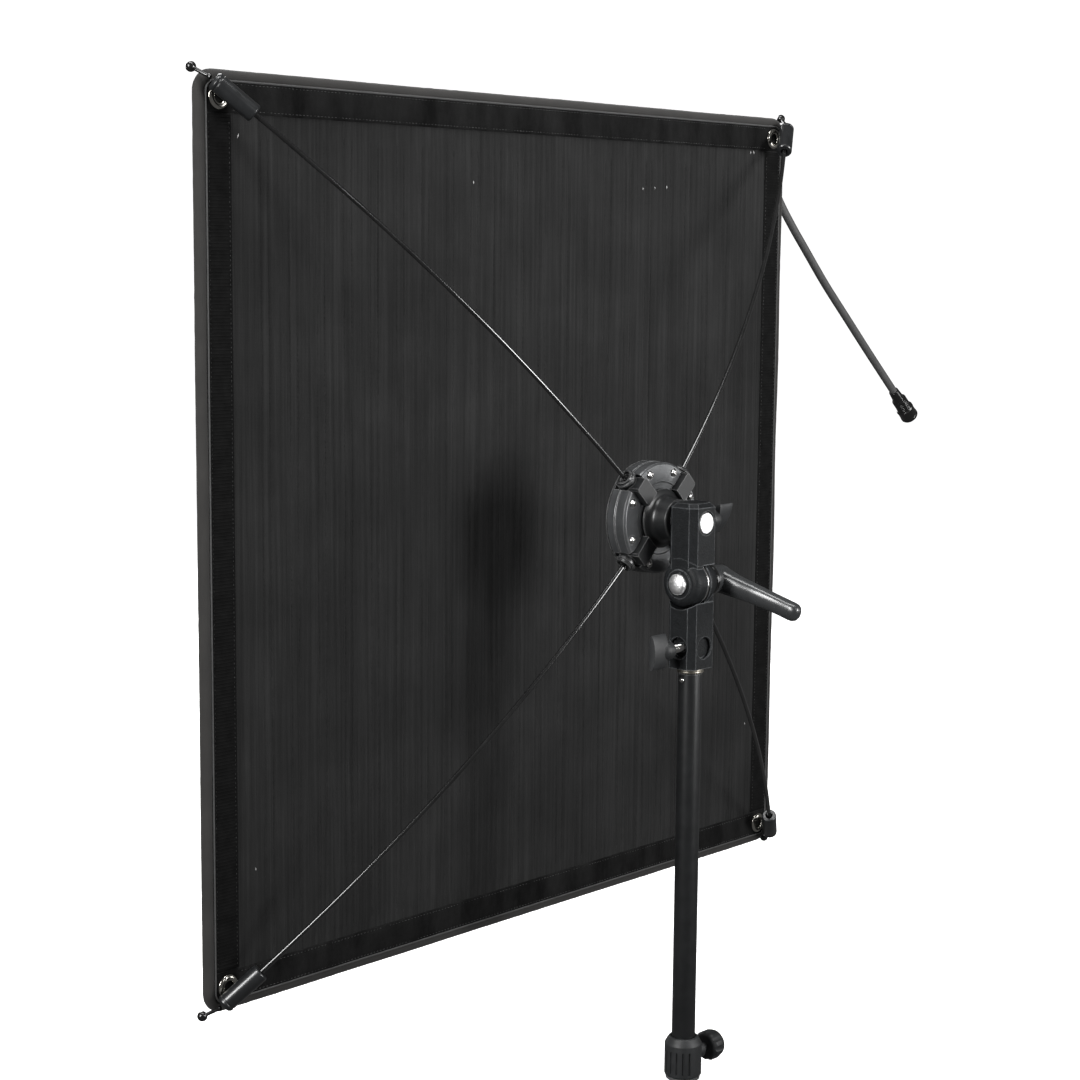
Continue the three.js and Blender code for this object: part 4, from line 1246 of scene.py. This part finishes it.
def wing_shape(side, z, start, turn):
    """A round boss with a lens-shaped wing across its end, its edges rounded over."""
    half_wing, half_thick, wing_depth, boss = 12, 3.6, 14, 8
    outline = []
    for k in range(41):
        v = -1 + 2 * k / 40
        outline.append((half_wing * v, half_thick * (1 - v * v) ** 0.75 + 0.12))
    outline += [(u, -v) for u, v in reversed(outline)]
    across = Vector((0, sin(turn), cos(turn)))
    thick = Vector((0, cos(turn), -sin(turn)))
    base = Vector((side * (start + boss - 2), 0, z))

    def place(u, v, w):
        crown = 1 - 0.22 * (w / wing_depth) ** 3
        dip = 1.1 * (1 - (u / half_wing) ** 2) * (w / wing_depth) ** 2
        return base + across * u + thick * v * crown + X * side * (w - dip * 0.6)

    layers = [0, 2, 5, 8, 11, 13, 14]
    vertices, count = [], len(outline)
    for w in layers:
        vertices += [place(u, v, w) for u, v in outline]
    faces = [tuple(range(count)), tuple(range(len(vertices) - 1, len(vertices) - 1 - count, -1))]
    for r in range(len(layers) - 1):
        faces += band(r * count, (r + 1) * count, count)
    return vertices, faces


def wing_knob(name, body, side, z, start, turn, replaced):
    boss_profile = [(0, 0), (5.3, 0), (6.0, 0.8), (6.5, 2), (6.5, 6.4), (5.6, 8.4), (4, 10), (0, 10)]
    boss = turned(boss_profile, (side * start, 0, z), X * side, 56, 0.5)
    mesh = carved(name, wing_shape(side, z, start, turn), [boss], [], 0.7)
    finish_piece(name, mesh, MOULDED, body, [replaced], 45)


def stud(name, body, side, z, end, replaced):
    profile = [(0, 8.4), (2.0, 8.4), (2.9, 9.3)]
    at = 10.0
    while at < end - 1.2:
        profile += [(2.9, at), (2.55, at + 0.35), (2.9, at + 0.7)]
        at += 0.8
    profile += [(2.9, end), (0, end)]
    make_piece(name, turned(profile, (0, 0, z), X * side, 40, 0.05), STEEL, body,
               [replaced], 50)


def knobs():
    wing_knob("t_knob_spindle", "spindle_knob", -1, HUB_Z, 16, 0.5, "spindle_knob")
    stud("t_knob_spindle_screw", "spindle_knob", -1, HUB_Z, 15.7, "spindle_knob_stud")
    wing_knob("t_knob_stand", "stand_knob", 1, KNOB_Z, 22, 0, "stand_knob")
    stud("t_knob_stand_screw", "stand_knob", 1, KNOB_Z, 21.7, "stand_knob_stud")


LEVER_DROP = radians(18)
LEVER_REACH = 64.5
HANDLE_START = ARM_X / 2 + 3.9


def lever_point(reach, out):
    return Vector((-(HANDLE_START + out), reach * cos(LEVER_DROP), TILT_Z - reach * sin(LEVER_DROP)))


def lever():
    end = HANDLE_START + 19
    bush_start, bush_end = ARM_X / 2 + 0.3, HANDLE_START - 0.3
    bush = [(4.4, bush_start), (10.9, bush_start), (11.5, bush_start + 0.6), (11.5, bush_end - 0.5),
            (11.1, bush_end), (5.4, bush_end), (5.4, HANDLE_START + 3.8), (4.4, HANDLE_START + 3.8),
            (4.4, bush_start)]
    make_piece("lever_collar", turned(bush, TILT_CENTRE, -X, 96, 0.3), GLOSS, "lever_bush",
               ["lever_bush"])

    base = [(0, HANDLE_START), (9.6, HANDLE_START), (10.1, HANDLE_START + 0.6), (10.2, HANDLE_START + 2),
            (9.6, end - 7), (8.9, end - 3), (7.6, end - 1), (5.6, end), (0, end)]
    path = curve_through([lever_point(0, 11), lever_point(15, 13.5), lever_point(30, 17.5),
                          lever_point(45, 20.3), lever_point(LEVER_REACH - 6, 22)], 8)
    last = path[-1]
    onward = (path[-1] - path[-2]).normalized()
    path += [last + onward * d for d in (2.5, 4.6, 5.9, 6.3)]
    fade = {len(path) - 4: 0.96, len(path) - 3: 0.78, len(path) - 2: 0.45, len(path) - 1: 0.12}

    def section(i):
        t = min(i / (len(path) - 5), 1)
        wide = 5.9 + 3.6 * (1 - t) ** 2.5 + 0.5 * t
        thick = 5.4 + 3.4 * (1 - t) ** 3
        size = fade.get(i, 1)
        points = []
        for k in range(32):
            angle = 2 * pi * k / 32
            c, s = cos(angle), sin(angle)
            # a squared oval: broad flats above and below, round sides
            reach = (abs(c) ** 2.6 + abs(s) ** 2.6) ** (-1 / 2.6)
            points.append((wide * size * c * reach, thick * size * s * reach))
        return points

    # the widest side lies across the swing
    start_side = X.cross(path[1] - path[0]).normalized()
    arm = swept(path, section, start_side)
    rooms = [
        drum(5.9, HANDLE_START - 2, HANDLE_START + 6, TILT_CENTRE, -X, 56),
        drum(2.4, HANDLE_START + 5, HANDLE_START + 12.5, TILT_CENTRE, -X, 40),
        drum(4.6, HANDLE_START + 11.5, end + 2, TILT_CENTRE, -X, 56),
    ]
    mesh = carved("lever", turned(base, TILT_CENTRE, -X, 96, 0.5), [arm], rooms, 0.35)
    finish_piece("clamping_lever", mesh, LEVER_PAINT, "lever", ["clamp_lever"], 45)

    seat = HANDLE_START + 15.8
    head = [(0, HANDLE_START + 4.1), (2, HANDLE_START + 4.1), (2, seat), (4, seat), (4, seat + 1.2),
            (3.6, seat + 1.7), (0, seat + 1.7)]
    slot = block((-(seat + 3), -0.5, TILT_Z - 5), (-(seat + 0.8), 0.5, TILT_Z + 5))
    mesh = carved("lever_screw", turned(head, TILT_CENTRE, -X, 48, 0.15), [], [slot], 0.1)
    finish_piece("lever_retaining_screw", mesh, STEEL, "lever_bush", ["lever_screw"], 30)


upper_arm()
lower_block()
knobs()
lever()


# ---- stand top ----
TUBE_R, TUBE_WALL = 8.2, 1.2
RING_R, RING_HEIGHT = 9.2, 3.4
RING_LOW = BLOCK_Z - 0.3 - RING_HEIGHT
COLLAR_R, COLLAR_TOP = 13, 31
PLUG_TOP = 2.7


def stand_top():
    inside = TUBE_R - TUBE_WALL - 0.3
    ring_top = RING_LOW + RING_HEIGHT
    spigot = [(0, RING_LOW - 26), (inside, RING_LOW - 26), (inside, RING_LOW + 0.2), (8, RING_LOW + 0.2),
              (8, ring_top), (8, BLOCK_Z + 36), (7.4, BLOCK_Z + 37.2), (0, BLOCK_Z + 37.2)]
    make_piece("stand_spigot", turned(spigot, (0, 0, 0), Z, 72, 0.2), STEEL, "stand",
               ["riser_spigot"])
    flange = [(8.05, RING_LOW), (8.7, RING_LOW), (RING_R, RING_LOW + 0.5), (RING_R, RING_LOW + 1.1),
              (9.0, RING_LOW + 1.3), (9.0, RING_LOW + 1.6), (RING_R, RING_LOW + 1.8),
              (RING_R, ring_top - 0.6), (8.6, ring_top), (8.05, ring_top), (8.05, RING_LOW)]
    make_piece("spigot_flange", turned(flange, (0, 0, 0), Z, 96, 0.15), RING, "stand")

    tube_top = RING_LOW - 0.3
    tube = [(7, PLUG_TOP + 0.3), (TUBE_R, PLUG_TOP + 0.3), (TUBE_R, tube_top - 0.4), (7.8, tube_top),
            (7, tube_top), (7, PLUG_TOP + 0.3)]
    make_piece("top_tube", turned(tube, (0, 0, 0), Z, 96, 0.2), PAINT, "stand", ["riser_tube"])

    screw_at = (TUBE_R + 0.3, 0, RING_LOW - 4.6)
    head = turned([(0, 0), (1.6, 0), (1.8, 0.3), (1.6, 1.0), (1.0, 1.4), (0, 1.5)], screw_at, X, 32, 0.15)
    slot = block((screw_at[0] + 0.9, -0.25, screw_at[2] - 2), (screw_at[0] + 3, 0.25, screw_at[2] + 2))
    cross = block((screw_at[0] + 0.9, -2, screw_at[2] - 0.25), (screw_at[0] + 3, 2, screw_at[2] + 0.25))
    mesh = carved("set_screw", head, [], [slot, cross], 0)
    finish_piece("spigot_set_screw", mesh, STEEL, "stand", ["spigot_screw"], 30)

    bore = TUBE_R + 0.3
    collar = [(bore, 3), (COLLAR_R - 0.8, 3), (COLLAR_R, 3.8), (COLLAR_R, COLLAR_TOP - 5),
              (COLLAR_R - 1.1, COLLAR_TOP - 3), (bore + 1.8, COLLAR_TOP - 0.4), (bore + 1.2, COLLAR_TOP),
              (bore, COLLAR_TOP), (bore, 3)]
    centre = (0, 0, COLLAR_KNOB_Z)
    lug = turned([(0, 10), (6, 10), (6, 18.2), (5.2, 19), (0, 19)], centre, -X, 64, 0.3)
    threaded = drum(3.2, 0, 25, centre, -X, 40)
    through = drum(bore, -2, 40, (0, 0, 0), Z, 96)
    ribs = []
    for k in range(7):
        angle = radians(-60 + 20 * k)
        along = Vector((cos(angle), sin(angle), 0))
        ribs.append(drum(0.8, 6, 22, along * (COLLAR_R - 0.15), Z, 20))
    mesh = carved("collar", turned(collar, (0, 0, 0), Z, 112, 0.5), [lug], [threaded, through, *ribs], 0.4)
    finish_piece("stand_clamp_collar", mesh, MOULDED, "stand", ["clamp_collar"], 35)

    grip = [(0, 24), (8, 24), (9, 24.6), (10.5, 26.5), (10.5, 32), (9.4, 35.4), (8.5, 36.5), (5, 38.5),
            (2, 39), (0, 39)]
    flutes = []
    for k in range(9):
        angle = 2 * pi * k / 9
        offset = Y * 12.6 * cos(angle) + Z * 12.6 * sin(angle)
        flutes.append(drum(3.2, 22, 42, Vector(centre) + offset, -X, 28))
    screw = drum(2.8, 8.7, 24.5, centre, -X, 32)
    mesh = carved("knob", turned(grip, centre, -X, 96, 0.6), [screw], flutes, 0.45)
    finish_piece("collar_clamp_knob", mesh, MOULDED, "collar_knob", ["collar_knob"], 35)

    plug = [(0, 0), (10.9, 0), (12, 0.9), (12, 2.3), (11.6, PLUG_TOP), (inside, PLUG_TOP),
            (inside, 13.2), (5.8, 14), (0, 14)]
    make_piece("end_plug", turned(plug, (0, 0, 0), Z, 72, 0.25), RUBBER, "stand", ["foot_plug"])


stand_top()


# ---- floor and light ----
def backdrop():
    """Pale paper: a floor that curves up into a wall on every side."""
    s = Shader("backdrop_paper", 0.95, Specular_IOR_Level=0.1, Emission_Strength=0.97)
    s.colour(s.noise(1.5), [(0.3, grey(0.86)), (0.7, grey(0.88))])
    s.shader.inputs["Emission Color"].default_value = (1, 1, 1, 1)
    floor_r, bend_r, wall_top = 4.0, 1.5, 5.0
    profile = [(0.0, 0.0), (floor_r, 0.0)]
    for step in range(1, 13):
        angle = pi / 2 * step / 12
        profile.append((floor_r + bend_r * sin(angle), bend_r * (1 - cos(angle))))
    profile.append((floor_r + bend_r, wall_top))
    sides = 96
    vertices, faces = [(0, 0, 0)], []
    for radius, height in profile[1:]:
        vertices += [(x, y, height) for x, y in circle(radius, sides)]
    for i in range(sides):
        j = (i + 1) % sides
        faces.append((0, 1 + i, 1 + j))
        for ring in range(len(profile) - 2):
            low, high = 1 + ring * sides, 1 + (ring + 1) * sides
            faces.append((low + i, high + i, high + j, low + j))
    mesh = bpy.data.meshes.new("backdrop")
    mesh.from_pydata(vertices, [], faces)
    mesh.materials.append(s.material)
    mesh.shade_smooth()
    paper = in_scene("backdrop", mesh)
    paper.location.z = -0.0005
    paper.visible_glossy = False
    paper.visible_diffuse = False


def soft_light(name, place, target, width, height, power, spread=180):
    data = bpy.data.lights.new(name, "AREA")
    data.shape = "RECTANGLE"
    data.size, data.size_y = width, height
    data.energy = power
    data.spread = radians(spread)
    lamp = in_scene(name, data)
    lamp.location = place
    lamp.rotation_euler = (Vector(target) - Vector(place)).to_track_quat("-Z", "Y").to_euler()
    lamp.visible_camera = False


def studio():
    world = bpy.data.worlds.new("studio")
    world.use_nodes = True
    world.node_tree.nodes["Background"].inputs["Color"].default_value = (1, 1, 1, 1)
    world.node_tree.nodes["Background"].inputs["Strength"].default_value = 0.09
    bpy.context.scene.world = world
    bpy.context.scene.view_settings.view_transform = "Standard"
    middle = (0, -0.05, 0.42)
    soft_light("top_box", (0.3, 0.15, 2.0), middle, 1.5, 0.35, 17)
    soft_light("left_box", (1.8, 0.0, 1.0), (0, 0, 0.4), 0.5, 1.0, 34)
    soft_light("key_box", (-0.4, 1.35, 0.62), (-0.05, -0.15, 0.66), 0.4, 0.6, 5.4, 90)
    soft_light("rod_light", (0.3, 1.45, 1.0), (0.15, -0.1, 0.55), 0.14, 0.14, 0.9)
    soft_light("right_strip", (-1.35, 1.2, 0.5), (0, 0, 0.4), 0.3, 0.6, 3.5)
    soft_light("front_box", (-0.6, -2.2, 1.4), middle, 1.4, 1.4, 48)


backdrop()
studio()
